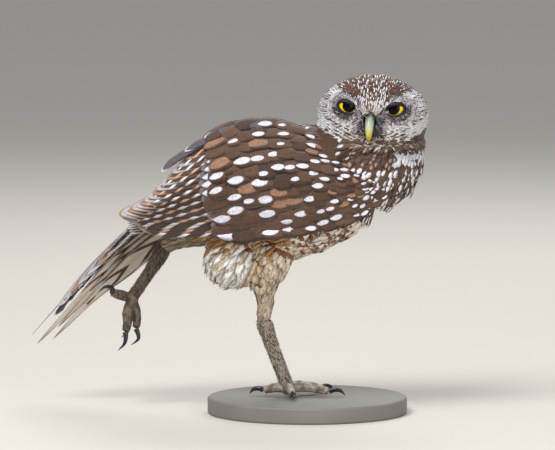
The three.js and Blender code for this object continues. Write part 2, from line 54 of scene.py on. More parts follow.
# The head's own frame: x across towards its right eye, y out of the face, z up
HEAD_CENTRE = np.array([53.4, -2.0, 170.0])
HEAD_TURN, HEAD_NOD, HEAD_LEAN = -5.0, 6.0, 2.8
HEAD_HALF = np.array([34.0, 28.0, 24.3])
EYE = np.array([14.2, 13.8, 6.2])
EYE_RADIUS = 8.2
EYE_SLANT = 14.0
OPENING = np.array([5.2, 3.3])  # half width and half height between the lids
OPENING_RISE = 0.7
LID_EDGE = (7.8, 6.6)  # half width and half height of a lid's outer edge
IRIS_RADIUS, IRIS_BLUR = 6.0, 0.4
NEAR_EYE = 11.0  # feathers closer to an eye than this are short
# The chin's white band: the heights of its edges under the bill, and how much they rise sideways
CHIN_TOP, CHIN_TOP_RISE = -9.0, 0.33
CHIN_LOW, CHIN_LOW_RISE = -18.5, 0.34

# The wings' and tail's sheets, from the shoulder to the tip
WING_RIGHT = {
    "outward": -1,
    "lower": [(63, -23, 126), (43, -31, 112), (14, -33.5, 105), (-20, -31.5, 102.5), (-50, -27, 102),
              (-78, -20, 104.5), (-98.5, -13.5, 110)],
    "upper": [(61, -20, 138), (33, -15, 151), (2, -10, 163), (-26, -11.5, 163), (-53, -14.5, 150.5),
              (-77, -15.5, 131.5), (-99, -13.5, 111.5)],
    "bulge": [(3, 0), (8, 1), (14, 3), (14.5, 4), (10, 3), (4, 1.5), (0.5, 0.5)],
}
WING_LEFT = {
    "outward": 1,
    "lower": [(58, 25, 126), (38, 34, 113), (8, 41, 105), (-28, 48, 103), (-64, 55, 93.5),
              (-106, 62, 61.5), (-149, 66, 20)],
    "upper": [(57, 20, 140), (28, 18, 153), (-8, 23, 156), (-44, 30, 138), (-78, 33, 110),
              (-116, 36, 73), (-160, 46, 25)],
    "bulge": [(4, 0), (9, 1), (13, 4), (12, 6), (8, 9), (6, 9), (4, 5)],
}
TAIL = {
    "outward": -1,
    "lower": [(-30, -7, 115), (-62, -9, 104.5), (-96, -11, 97.5)],
    "upper": [(-30, 7, 118.5), (-62, 14, 109.5), (-96, 22, 105)],
    "bulge": [(0, 2), (0, 3), (0, 3)],
}

# Bill paths in the head's frame, with half widths and half heights
BILL_UPPER = [
    (0, 16, 2.6), (0, 24.6, 1.6), (0, 29.2, -1.4), (0, 31.4, -5.4), (0, 31.2, -9.6), (0, 29.4, -12.8),
]
BILL_UPPER_SIZE = [(2.8, 3.3), (2.8, 3.3), (2.6, 3.0), (2.2, 2.5), (1.35, 1.6), (0.2, 0.3)]
BILL_LOWER = [(0, 15, -4.6), (0, 23.4, -7.0), (0, 27.8, -9.6), (0, 28.6, -11.4)]
BILL_LOWER_SIZE = [(2.6, 2.6), (2.2, 2.1), (1.6, 1.5), (0.5, 0.4)]

CLAWS_RIGHT = [
    [(-12.5, 1.6, 3.3), (-15.4, 1.9, 4.2), (-18.7, 2.3, 3.3), (-20.7, 2.5, 0.8)],
    [(22.5, 12.5, 3.3), (25.3, 14.0, 4.2), (28.5, 15.8, 3.3), (30.5, 16.9, 0.8)],
    [(27.5, -4.2, 3.3), (30.7, -4.8, 4.2), (34.4, -5.4, 3.3), (36.7, -5.8, 0.8)],
    [(5.2, -20.5, 3.3), (5.6, -23.4, 4.2), (6.0, -26.7, 3.3), (6.2, -28.7, 0.8)],
]
CLAWS_LEFT = [
    [(-103.6, 15.6, 60.4), (-103.8, 15.0, 63.4), (-107.6, 11.6, 64.6), (-112.6, 8.4, 61.2)],
    [(-96, 17.6, 36.4), (-95.6, 17.2, 34.2), (-96.4, 16.4, 29.6), (-100.4, 15.8, 25.4)],
    [(-89.8, 25.4, 37.6), (-88.8, 25.2, 35.6), (-88.2, 24.8, 31.6), (-92.6, 24.4, 27.8)],
    [(-94, 36.4, 40.4), (-94.4, 37, 37.8), (-95.6, 37.4, 34), (-99, 37.4, 31)],
]
CLAW_SIZE = [(1.55, 1.7), (1.35, 1.5), (0.85, 1.0), (0.12, 0.14)]

COAT_DEPTH = 1.0  # how far the skin is drawn in under the feathers, mm
BASE_RADIUS, BASE_HEIGHT, BASE_BEVEL = 60.0, 10.0, 1.5

GROUND = "#5f483b"  # a plain feather's brown
NO_SPOT = (0.0, 0.5, 0.001)  # a spot's places across and along a feather, and a size too small to see
NO_BARS = (1.0, 3.0, 0.0)  # the bars' number, a level that their wave never reaches, and their phase


def unit(v):
    """Each vector divided by its length."""
    return v / np.maximum(np.linalg.norm(v, axis=-1, keepdims=True), 1e-9)


def ease(low, high, x):
    """0 at low, 1 at high, and a smooth cubic between them."""
    t = np.clip((x - low) / (high - low), 0, 1)
    return t * t * (3 - 2 * t)


def mix(a, b, t):
    """The point a share t of the way from a to b."""
    return a + (b - a) * t


def bell(x, width):
    """A Gaussian bump of height 1."""
    return np.exp(-(x**2) / (2 * width**2))


def srgb(code):
    """An sRGB hex colour as linear red, green and blue."""
    c = np.array([int(code[i : i + 2], 16) for i in (1, 3, 5)]) / 255
    return np.where(c <= 0.04045, c / 12.92, ((c + 0.055) / 1.055) ** 2.4)


def spline(points, t):
    """A centripetal Catmull-Rom curve through the points: a cubic between each two, whose end slopes
    weigh the chords on either side by the square roots of their lengths."""
    p = np.asarray(points, float)
    p = np.vstack([2 * p[0] - p[1], p, 2 * p[-1] - p[-2]])
    x = np.clip(t, 0, 1) * (len(p) - 3)
    i = np.minimum(x.astype(int), len(p) - 4)
    w = (x - i)[..., None]
    a, b, c, d = p[i], p[i + 1], p[i + 2], p[i + 3]
    chords = [np.sum((n - m) ** 2, -1, keepdims=True) ** 0.25 for m, n in ((a, b), (b, c), (c, d))]
    ab, bc, cd = (np.maximum(chord, 1e-4) for chord in chords)
    start = ((b - a) / ab - (c - a) / (ab + bc) + (c - b) / bc) * bc
    end = ((c - b) / bc - (d - b) / (bc + cd) + (d - c) / cd) * bc
    return b + w * start + w**2 * (3 * (c - b) - 2 * start - end) + w**3 * (2 * (b - c) + start + end)


def turn(axis, degrees):
    """A rotation matrix about x, y or z."""
    c, s = math.cos(math.radians(degrees)), math.sin(math.radians(degrees))
    i, j = {"x": (1, 2), "y": (2, 0), "z": (0, 1)}[axis]
    m = np.eye(3)
    m[i, i], m[j, j], m[i, j], m[j, i] = c, c, -s, s
    return m


HEAD = turn("y", HEAD_LEAN) @ turn("z", HEAD_TURN + 180) @ turn("x", -HEAD_NOD)


def from_head(local):
    """Places in the head's frame, in the owl's frame."""
    return HEAD_CENTRE + np.asarray(local, float) @ HEAD.T


def to_head(place):
    """Places in the owl's frame, in the head's frame."""
    return (place - HEAD_CENTRE) @ HEAD


class Sheet:
    """A curved surface between a lower and an upper edge that bows outward and up as a half sine."""

    def __init__(self, lower, upper, bulge, outward):
        self.lower, self.upper, self.bulge, self.outward = lower, upper, bulge, outward

    def place(self, s, w):
        """Points a share s along the sheet and a share w up from its lower edge."""
        bow = spline(self.bulge, s) * np.sin(np.pi * np.clip(w, 0, 1))[..., None]
        p = mix(spline(self.lower, s), spline(self.upper, s), w[..., None])
        p[..., 1] += self.outward * bow[..., 0]
        p[..., 2] += bow[..., 1]
        return p

    def normal(self, s, w):
        """Which way the sheet faces there, from points close by on either side."""
        d = 0.01
        s = np.clip(s, d, 1 - 2 * d)
        along = self.place(s + d, w) - self.place(s - d, w)
        across = self.place(s, w + d) - self.place(s, w - d)
        return unit(np.cross(along, across)) * self.outward


SHAPES = {"right": WING_RIGHT, "left": WING_LEFT, "tail": TAIL}
SHEETS = {name: Sheet(**shape) for name, shape in SHAPES.items()}


def linked(name, data):
    """A new object in the scene that holds the data."""
    made = bpy.data.objects.new(name, data)
    bpy.context.scene.collection.objects.link(made)
    return made


def object_of(name, places, faces):
    """A smooth mesh object from places in mm in the owl's frame and arrays of faces of 3 or more corners."""
    mesh = bpy.data.meshes.new(name)
    mesh.vertices.add(len(places))
    mesh.vertices.foreach_set("co", ((places + ANKLE) * MM).astype(np.float32).ravel())
    corners = np.concatenate([f.ravel() for f in faces]).astype(np.int32)
    sizes = np.concatenate([np.full(len(f), f.shape[1]) for f in faces])
    mesh.loops.add(len(corners))
    mesh.loops.foreach_set("vertex_index", corners)
    mesh.polygons.add(len(sizes))
    mesh.polygons.foreach_set("loop_start", np.concatenate([[0], np.cumsum(sizes)[:-1]]).astype(np.int32))
    mesh.update(calc_edges=True)
    mesh.polygons.foreach_set("use_smooth", np.full(len(sizes), True))
    return linked(name, mesh)


def give(mesh, name, values):
    """A vector or colour for each vertex, for the materials to read."""
    kind, field = ("FLOAT_COLOR", "color") if values.shape[1] == 4 else ("FLOAT_VECTOR", "vector")
    mesh.attributes.new(name, kind, "POINT").data.foreach_set(field, values.astype(np.float32).ravel())


def finish_piece(piece, slot, material, *nodes):
    """The piece rides on the body, wears its material, and stands for the solids it replaces."""
    piece.data.materials.clear()
    piece.data.materials.append(material)
    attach(piece, "root")
    if nodes:
        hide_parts(*nodes)


def tube_faces(start, rows, sides):
    """Corner numbers of a tube of rings, and of the fans that close it on two end points."""
    grid = start + np.arange(rows * sides).reshape(rows, sides)
    right = np.roll(grid, -1, 1)
    first, last = start + rows * sides, start + rows * sides + 1
    return [
        np.stack([grid[:-1], right[:-1], right[1:], grid[1:]], -1).reshape(-1, 4),
        np.stack([np.full(sides, first), right[0], grid[0]], -1),
        np.stack([np.full(sides, last), grid[-1], right[-1]], -1),
    ]


def swept(paths, sizes, sides, steps, across):
    """Tubes along splines, each closed by a pole at either end; a second spline gives the half
    width and half height of the ellipse at each step."""
    places, faces = [], []
    for path, size in zip(paths, sizes):
        t = (1 - np.cos(np.linspace(0, np.pi, steps))) / 2
        line = spline(path, t)
        along = unit(spline(path, np.minimum(t + 0.01, 1)) - spline(path, np.maximum(t - 0.01, 0)))
        side = unit(across - along * (along @ across)[:, None])
        up = np.cross(along, side)
        half = spline(size, t)
        turns = np.linspace(0, 2 * np.pi, sides, endpoint=False)
        wide = side[:, None] * (half[:, :1] * np.cos(turns))[..., None]
        high = up[:, None] * (half[:, 1:2] * np.sin(turns))[..., None]
        faces += tube_faces(sum(len(p) for p in places), steps, sides)
        ring = line[:, None] + wide + high
        places += [ring.reshape(-1, 3), line[:1] - along[:1] * 0.02, line[-1:] + along[-1:] * 0.02]
    return np.vstack(places), faces


def add(tree, kind, inputs=None, out=0, **settings):
    """Adds one shader node: settings go to the node, each input takes a value or another node's
    output, and the output named or numbered by out comes back."""
    made = tree.nodes.new("ShaderNode" + kind)
    for key, value in settings.items():
        setattr(made, key, value)
    for key, value in (inputs or {}).items():
        if isinstance(value, bpy.types.NodeSocket):
            tree.links.new(value, made.inputs[key])
        else:
            made.inputs[key].default_value = value
    return made.outputs[out]


def surface(name, roughness, **values):
    """A new material with its node tree and its surface shader, whose named sockets are set."""
    material = bpy.data.materials.new(name)
    material.use_nodes = True
    tree = material.node_tree
    shader = tree.nodes["Principled BSDF"]
    shader.inputs["Roughness"].default_value = roughness
    for key, value in values.items():
        shader.inputs[key.replace("_", " ")].default_value = value
    return material, tree, shader


def grained(name, roughness, scale, detail, **values):
    """A new material as from surface, with places in the object and fine noise there."""
    material, tree, shader = surface(name, roughness, **values)
    where = add(tree, "TexCoord", out="Object")
    grain = add(tree, "TexNoise", {"Vector": where, "Scale": scale, "Detail": detail}, out="Fac")
    return material, tree, shader, where, grain


def wire(tree, shader, colour, shade, height=None, strength=0.0, distance=0.0):
    """Sends a colour times a shade to the surface shader and, where there is one, a height to its
    normals."""
    tone = add(tree, "VectorMath", {0: colour, "Scale": shade}, operation="SCALE")
    tree.links.new(tone, shader.inputs["Base Color"])
    if height is not None:
        bump = add(tree, "Bump", {"Height": height, "Strength": strength, "Distance": distance})
        tree.links.new(bump, shader.inputs["Normal"])


def feather_material(name, roughness=0.7, barb=0.32):
    """Keratin vanes: matt, faintly silky and finely ribbed by barbs that slant from the shaft. Each
    feather carries its ground colour, mark colour, spot, bars and fringe as attributes."""
    material, tree, shader = surface(
        name, roughness, Sheen_Weight=0.15, Sheen_Roughness=0.5, Specular_IOR_Level=0.2)
    split = {}
    for key in ("vane", "spot", "bars", "trim", "web"):
        vector = add(tree, "Attribute", out="Vector", attribute_name=key)
        split[key] = tuple(add(tree, "SeparateXYZ", {0: vector}).node.outputs)
    tint = add(tree, "Attribute", out="Color", attribute_name="tint")
    mark = add(tree, "Attribute", out="Color", attribute_name="mark")
    u, v, own = split["vane"]
    spot_u, spot_v, spot_size = split["spot"]
    bar_count, bar_level, bar_phase = split["bars"]
    fringe_weight, shaft_weight, spot_long = split["trim"]
    web_side, web_end, _ = split["web"]
    side = add(tree, "Math", {0: u}, operation="ABSOLUTE")
    slant = add(tree, "Math", {0: side, 1: -0.12, 2: v}, operation="MULTIPLY_ADD")
    # Barbs: noise stretched along slanting lines
    barb_place = add(tree, "CombineXYZ", {
        0: add(tree, "Math", {0: u, 1: 2.2}, operation="MULTIPLY"),
        1: add(tree, "Math", {0: slant, 1: 26.0}, operation="MULTIPLY"),
        2: add(tree, "Math", {0: own, 1: 91.0}, operation="MULTIPLY"),
    })
    ribs = add(tree, "TexNoise", {"Vector": barb_place, "Scale": 1.0, "Detail": 2.0}, out="Fac")
    wander = add(tree, "Math", {0: ribs, 1: 0.9, 2: -0.45}, operation="MULTIPLY_ADD")
    # Spot: an ellipse about a place across and along the feather
    off = add(tree, "Math", {0: u, 1: spot_u}, operation="SUBTRACT")
    off = add(tree, "Math", {0: off, 1: spot_size}, operation="DIVIDE")
    along = add(tree, "Math", {0: v, 1: spot_v}, operation="SUBTRACT")
    along = add(tree, "Math", {0: along, 1: spot_size}, operation="DIVIDE")
    along = add(tree, "Math", {0: along, 1: spot_long}, operation="DIVIDE")
    far = add(tree, "Math", {0: off, 1: off}, operation="MULTIPLY")
    far = add(tree, "Math", {0: along, 1: along, 2: far}, operation="MULTIPLY_ADD")
    far = add(tree, "Math", {0: far, 1: wander}, operation="ADD")
    spot = add(tree, "MapRange", {0: far, 1: 1.25, 2: 0.75, 3: 0.0, 4: 1.0}, interpolation_type="SMOOTHSTEP")
    # Bars: a wave along the feather, on one web or on both, up to a distance along it
    phase = add(tree, "Math", {0: slant, 1: bar_count, 2: bar_phase}, operation="MULTIPLY_ADD")
    phase = add(tree, "Math", {0: phase, 1: 2 * math.pi}, operation="MULTIPLY")
    wave = add(tree, "Math", {0: phase}, operation="SINE")
    ridge = add(tree, "Math", {0: wander, 1: 0.6, 2: wave}, operation="MULTIPLY_ADD")
    crest = add(tree, "Math", {0: bar_level, 1: 0.25}, operation="ADD")
    bar = add(tree, "MapRange", {0: ridge, 1: bar_level, 2: crest, 3: 0.0, 4: 1.0})
    on_web = add(tree, "Math", {0: u, 1: web_side}, operation="MULTIPLY")
    on_web = add(tree, "MapRange", {0: on_web, 1: -0.1, 2: 0.0, 3: 0.0, 4: 1.0})
    bar = add(tree, "Math", {0: bar, 1: on_web}, operation="MULTIPLY")
    before = add(tree, "Math", {0: v, 1: web_end}, operation="LESS_THAN")
    bar = add(tree, "Math", {0: bar, 1: before}, operation="MULTIPLY")
    # Fringe: a pale edge round the tip
    tip = add(tree, "Math", {0: v, 1: 3.0}, operation="POWER")
    edge = add(tree, "Math", {0: side, 1: 3.0}, operation="POWER")
    edge = add(tree, "Math", {0: edge, 1: tip}, operation="MULTIPLY")
    edge = add(tree, "Math", {0: tip, 1: tip, 2: edge}, operation="MULTIPLY_ADD")
    edge = add(tree, "Math", {0: wander, 1: 0.25, 2: edge}, operation="MULTIPLY_ADD")
    fringe = add(tree, "MapRange", {0: edge, 1: 0.7, 2: 0.86, 3: 0.0, 4: fringe_weight})
    marked = add(tree, "Math", {0: spot, 1: bar}, operation="MAXIMUM")
    marked = add(tree, "Math", {0: marked, 1: fringe}, operation="MAXIMUM")
    colour = add(tree, "Mix", {0: marked, 6: tint, 7: mark}, out=2, data_type="RGBA")
    # Shaft: a thin dark line along the middle, and barbs that shade the whole vane
    shaft = add(tree, "MapRange", {0: side, 1: 0.03, 2: 0.09, 3: shaft_weight, 4: 0.0})
    clear = add(tree, "Math", {0: 1.0, 1: shaft}, operation="SUBTRACT")
    shade = add(tree, "MapRange", {0: ribs, 1: 0.3, 2: 0.7, 3: 1 - barb, 4: 1 + barb * 0.45})
    shade = add(tree, "Math", {0: shade, 1: clear}, operation="MULTIPLY")
    wire(tree, shader, colour, shade, ribs, 0.3, 0.0002)
    return material


def vane_faces(rows, cols, flat):
    """Corner numbers of one closed feather: a grid of rows by cols on top, and underneath a grid
    that shares its two edges, or a single strip between them where flat is true."""
    top = np.arange(rows * cols).reshape(rows, cols)
    quads = [np.stack([top[:-1, :-1], top[:-1, 1:], top[1:, 1:], top[1:, :-1]], -1).reshape(-1, 4)]
    if flat:
        quads.append(np.stack([top[:-1, 0], top[1:, 0], top[1:, -1], top[:-1, -1]], -1))
        m = cols // 2
        return quads, [np.array([[top[0, 0], top[0, -1], top[0, m]], [top[-1, 0], top[-1, m], top[-1, -1]]])]
    inner = rows * cols + np.arange(rows * (cols - 2)).reshape(rows, cols - 2)
    under = np.concatenate([top[:, :1], inner, top[:, -1:]], 1)
    below = np.stack([under[:-1, :-1], under[1:, :-1], under[1:, 1:], under[:-1, 1:]], -1)
    quads.append(below.reshape(-1, 4))
    tris = []
    for r, order in ((0, 1), (rows - 1, -1)):
        a, b, c, d = top[r, 1:-2], under[r, 1:-2], under[r, 2:-1], top[r, 2:-1]
        quads.append(np.stack([a, b, c, d][::order], -1).reshape(-1, 4))
        ends = np.array([[top[r, 0], under[r, 1], top[r, 1]], [top[r, -1], top[r, -2], under[r, -2]]])
        tris.append(ends[:, ::order])
    return quads, tris


def feathers(name, centre, along, up, half, looks, rooted, cols=3, camber=0.12, thick=0.12, flat=False):
    """Many closed feathers in one mesh. Each has a centre line of rows of points, and at each row a
    half width; across it is a parabola's arch, and its underside is set in by an ellipse's height."""
    count, rows = centre.shape[:2]
    side = unit(np.cross(along, up))
    c = np.linspace(-1, 1, cols)
    arch = (1 - c**2) * half[..., None] * camber
    top = centre[:, :, None] + side[:, :, None] * (half[..., None] * c)[..., None]
    top = top + up[:, :, None] * arch[..., None]
    v = looks.pop("stations", np.linspace(0, 1, rows))
    vane = np.stack(np.broadcast_arrays(c[None, None], v[None, :, None], looks["own"][:, None, None]), -1)
    places, coords = [top.reshape(count, -1, 3)], [vane.reshape(count, -1, 3)]
    if not flat:
        deep = thick * (1 - c[1:-1] ** 2) ** 0.5
        places.append((top[:, :, 1:-1] - up[:, :, None] * deep[None, None, :, None]).reshape(count, -1, 3))
        coords.append(vane[:, :, 1:-1].reshape(count, -1, 3))
    upper = places[0].shape[1]
    places, coords = np.concatenate(places, 1), np.concatenate(coords, 1)
    each = places.shape[1]
    quads, tris = vane_faces(rows, cols, flat)
    offset = (np.arange(count) * each)[:, None, None]
    faces = [(q[None] + offset).reshape(-1, q.shape[1]) for q in quads + tris if len(q)]
    piece = object_of(name, places.reshape(-1, 3), faces)
    mesh = piece.data
    give(mesh, "vane", coords.reshape(-1, 3))
    for key in ("tint", "mark"):
        value = np.repeat(looks[key][:, None], each, 1)
        value[:, upper:] = looks.get("under_" + key, looks[key])[:, None]
        give(mesh, key, np.concatenate([value, np.ones_like(value[..., :1])], -1).reshape(-1, 4))
    for key in ("spot", "bars", "trim", "web"):
        give(mesh, key, np.repeat(looks[key][:, None], each, 1).reshape(-1, 3))
    # Each feather's corners map to a patch at its root's place on the unwrapped body, in the OFBake map
    patch = rooted[:, None] + 0.003 * np.stack([coords[..., 0] * 0.5, coords[..., 1]], -1)
    corner = np.empty(len(mesh.loops), np.int32)
    mesh.loops.foreach_get("vertex_index", corner)
    bake = patch.reshape(-1, 2)[corner].astype(np.float32)
    mesh.uv_layers.new(name="OFBake").data.foreach_set("uv", bake.ravel())
    return piece


def new_looks(count, rng, **sizes):
    """Plain brown feathers with nothing marked on them yet, and a measure of each for every size."""
    looks = {
        "own": rng.random(count),
        "tint": np.tile(srgb(GROUND), (count, 1)),
        "mark": np.tile(srgb("#d4d3dc"), (count, 1)),
        "spot": np.tile(NO_SPOT, (count, 1)),
        "bars": np.tile(NO_BARS, (count, 1)),
        "trim": np.tile([0.0, 0.15, 0.5], (count, 1)),
        "web": np.tile([0.0, 2.0, 0.0], (count, 1)),
    }
    looks.update({key: np.full(count, value) for key, value in sizes.items()})
    return looks


def paint(looks, where, **values):
    """Sets colours, patterns or sizes of the feathers where a mask is true."""
    for key, value in values.items():
        kept = looks.setdefault(key, np.zeros_like(looks["tint"]))
        kept[where] = srgb(value) if isinstance(value, str) else value


def row_looks(count, rng, amount=0.16, **values):
    """Looks of a row of like feathers. What is painted over them varies no more."""
    looks = vary(new_looks(count, rng), rng, amount)
    paint(looks, slice(None), **values)
    return looks


def vary(looks, rng, amount=0.16):
    """Each feather a little lighter or darker than its neighbours."""
    for key in ("tint", "under_tint"):
        if key in looks:
            looks[key] = looks[key] * (1 + amount * (rng.random((len(looks[key]), 1)) * 2 - 1))
    return looks


def body_unwrap(place):
    """Where a root falls on the unwrapped body: its angle round the body against its place along it."""
    angle = np.arctan2(place[:, 1], place[:, 2] - mix(105, 150, ease(-60, 60, place[:, 0])))
    across = angle / (2 * np.pi) + 0.5
    return np.stack([0.02 + 0.46 * across, 0.02 + 0.96 * ease(-110, 110, place[:, 0])], -1)


def head_unwrap(place):
    """The same for the head: its angle round the bill's line against its place along that line."""
    local = to_head(place) / HEAD_HALF
    across = np.arctan2(local[:, 0], local[:, 2]) / (2 * np.pi) + 0.5
    return np.stack([0.52 + 0.46 * across, 0.02 + 0.96 * ease(-1.3, 1.3, local[:, 1])], -1)


def wing_unwrap(at, name):
    """A wing root's place on the unwrap: its two measures along and across the sheet."""
    low = {"right": 0.02, "left": 0.52}[name]
    return np.stack([low + 0.44 * np.clip(at[:, 0], 0, 1), 0.02 + 0.94 * np.clip(at[:, 1], 0, 1)], -1)


def lay(name, root, normal, lie, length, width, lift, looks, rooted, rows=5, bend=0.35, round_tip=4.0,
        sink=0.4, **more):
    """Feathers on the skin. A centre line leaves the skin at its lift and turns back towards it by
    an even bend; the half width swells as a root and closes as a power of the distance to the tip."""
    t = np.linspace(0, 1, rows)
    outline = np.sqrt(0.12 + 0.88 * t) * (1 - t**round_tip) ** 0.55 + 0.05
    outline = outline / outline.max()
    lie = unit(lie - normal * np.sum(lie * normal, -1, keepdims=True))
    angle = lift[:, None] - bend * t
    step = length[:, None] / (rows - 1)
    mid = (angle[:, 1:] + angle[:, :-1]) / 2
    start = np.zeros((len(root), 1))
    forth = np.concatenate([start, np.cumsum(np.cos(mid) * step, 1)], 1)[..., None]
    rise = np.concatenate([start, np.cumsum(np.sin(mid) * step, 1)], 1)[..., None]
    cos, sin = np.cos(angle)[..., None], np.sin(angle)[..., None]
    lie, out = lie[:, None], normal[:, None]
    centre = (root - normal * sink)[:, None] + lie * forth + out * rise
    half = np.broadcast_to(width, len(root))[:, None] / 2 * outline
    return feathers(name, centre, lie * cos + out * sin, out * cos - lie * sin, half, looks, rooted, **more)


def scatter(piece, spacing, rng, allowed):
    """Places about one spacing apart on a skin: random points of its faces by their area, of which
    one stays in each cube of that size, with the skin's smooth normals there."""
    mesh = piece.data
    mesh.calc_loop_triangles()
    corners = np.empty(len(mesh.loop_triangles) * 3, np.int32)
    mesh.loop_triangles.foreach_get("vertices", corners)
    corners = corners.reshape(-1, 3)
    vertex, normal = points_of(piece)
    corners = corners[allowed(vertex[corners].mean(1))]
    a, b, c = (vertex[corners[:, i]] for i in range(3))
    area = np.linalg.norm(np.cross(b - a, c - a), axis=1) / 2
    wanted = int(area.sum() / spacing**2 * 5)
    pick = rng.choice(len(area), wanted, p=area / area.sum())
    share = rng.dirichlet((1, 1, 1), wanted)
    place = np.einsum("ij,ijk->ik", share, vertex[corners[pick]])
    way = unit(np.einsum("ij,ijk->ik", share, normal[corners[pick]]))
    cell = np.floor(place / spacing).astype(np.int64)
    kept = np.unique((cell[:, 0] * 4093 + cell[:, 1]) * 4093 + cell[:, 2], return_index=True)[1]
    return place[kept], way[kept]


def points_of(piece):
    """A mesh's vertices and their normals, in mm in the owl's frame."""
    mesh = piece.data
    place = np.empty(len(mesh.vertices) * 3, np.float32)
    normal = np.empty(len(mesh.vertices) * 3, np.float32)
    mesh.vertices.foreach_get("co", place)
    mesh.vertex_normals.foreach_get("vector", normal)
    return place.reshape(-1, 3).astype(float) / MM - ANKLE, normal.reshape(-1, 3).astype(float)


def flow(place):
    """Which way the plumage lies: away from the bill and the eyes on the head, down the neck and
    breast, back along the body, and down each leg."""
    x, y, z = place.T
    local = to_head(place)
    out = unit(local - [0, 24, 0.5])
    for side in (-1, 1):
        off = local - EYE * [side, 1, 1] - [0, 7, 0]
        near = bell(np.linalg.norm(off, axis=1), 7.0)
        out = out + unit(off) * near[:, None] * 1.2
    # Under the bill the feathers sweep out sideways along the chin's white band
    beside = np.abs(local[:, 0])
    under_top = local[:, 2] - CHIN_TOP - CHIN_TOP_RISE * beside
    over_low = local[:, 2] - CHIN_LOW - CHIN_LOW_RISE * beside
    chin = ease(1.5, -1.5, under_top) * ease(-1.5, 1.5, over_low)
    sideways = np.stack([np.tanh(local[:, 0]), np.full(len(x), -0.25), np.full(len(x), 0.3)], 1)
    out = mix(unit(out), sideways, (chin * ease(-4, 4, local[:, 1]))[:, None])
    on_head = out @ HEAD.T
    front = (ease(25, 70, x) * ease(165, 140, z))[:, None]
    body = mix(np.array([-1, 0, -0.35]), np.array([-0.35, 0, -1.0]), front)
    leg = np.array([-0.12, 0.0, -1.0])
    vent = np.array([-0.6, 0.0, -0.8])
    stretched = np.array([-0.93, 0.1, -0.35])
    low = ease(98, 84, z) * ease(60, 40, x)
    body = mix(body, mix(leg, vent, ease(-12, -26, x)[:, None]), low[:, None])
    body = mix(body, stretched, (ease(4, 12, y) * ease(-34, -44, x) * ease(112, 104, z))[:, None])
    size = np.linalg.norm(local / HEAD_HALF, axis=1)
    return unit(mix(body, on_head, ease(1.28, 1.05, size)[:, None]))


def sheet_distance(place, name, s, w):
    """How far each point is from a patch of a sheet, by the nearest of a grid of its points."""
    grid = np.stack(np.meshgrid(np.linspace(*s, 36), np.linspace(*w, 20)), -1).reshape(-1, 2)
    nodes = SHEETS[name].place(grid[:, 0], grid[:, 1])
    best = np.full(len(place), 1e9)
    for first in range(0, len(nodes), 24):
        gap = place[:, None] - nodes[None, first : first + 24]
        best = np.minimum(best, np.sqrt(np.min(np.sum(gap**2, -1), 1)))
    return best


def pad_mesh(name):
    """The fleshy part of a wing: a slab of its sheet that thins to both ends."""
    stations, steps = 20, 14
    i = np.linspace(0.015, 0.6, stations)
    thin = np.clip(np.minimum((0.62 - i) / 0.22, i / 0.1 + 0.3), 0.15, 1)[:, None]
    s, w = np.broadcast_arrays(i[:, None], np.linspace(0.03, 0.97, steps))
    sheet = SHEETS[name]
    normal = sheet.normal(s, w)
    outer = sheet.place(s, w) - normal * (2.4 + (1 - thin) * 2)[..., None]
    inner = outer - normal * (10 * thin)[..., None]
    ring = np.concatenate([outer, inner[:, ::-1]], 1)
    places = np.vstack([ring.reshape(-1, 3), ring[[0, -1]].mean(1)])
    return object_of(f"pad_{name}", places, tube_faces(0, stations, 2 * steps))


def joined(name, parts):
    """Several meshes as one piece."""
    chosen = {"selected_objects": parts, "selected_editable_objects": parts}
    with bpy.context.temp_override(active_object=parts[0], object=parts[0], **chosen):
        bpy.ops.object.join()
    parts[0].name = parts[0].data.name = name
    return parts[0]


def fused(name, parts, voxel, smooth, shrink):
    """One closed skin round the parts: voxels of a given size, smoothed, then drawn in."""
    copies = []
    for part in parts:
        copy = part
        if not part.name.startswith("pad_"):
            copy = part.copy()
            copy.data = part.data.copy()
            copy.parent = None
            bpy.context.scene.collection.objects.link(copy)
        copy.hide_viewport = copy.hide_render = False
        copies.append(copy)
    bpy.context.view_layer.update()
    whole = joined(name + "_parts", copies)
    for kind, settings in (
        ("WELD", {"merge_threshold": 2e-5}),
        ("REMESH", {"mode": "VOXEL", "voxel_size": voxel * MM}),
        ("SMOOTH", {"factor": 0.5, "iterations": smooth}),
        ("DISPLACE", {"strength": -shrink * MM, "mid_level": 0.0}),
    ):
        modifier = whole.modifiers.new(kind, kind)
        for key, value in settings.items():
            setattr(modifier, key, value)
    made = bpy.data.meshes.new_from_object(whole.evaluated_get(bpy.context.evaluated_depsgraph_get()))
    old = whole.data
    bpy.data.objects.remove(whole)
    bpy.data.meshes.remove(old)
    made.name = name
    for attribute in [a.name for a in made.attributes if not a.is_required and not a.is_internal]:
        made.attributes.remove(made.attributes[attribute])
    made.polygons.foreach_set("use_smooth", np.full(len(made.polygons), True))
    return linked(name, made)


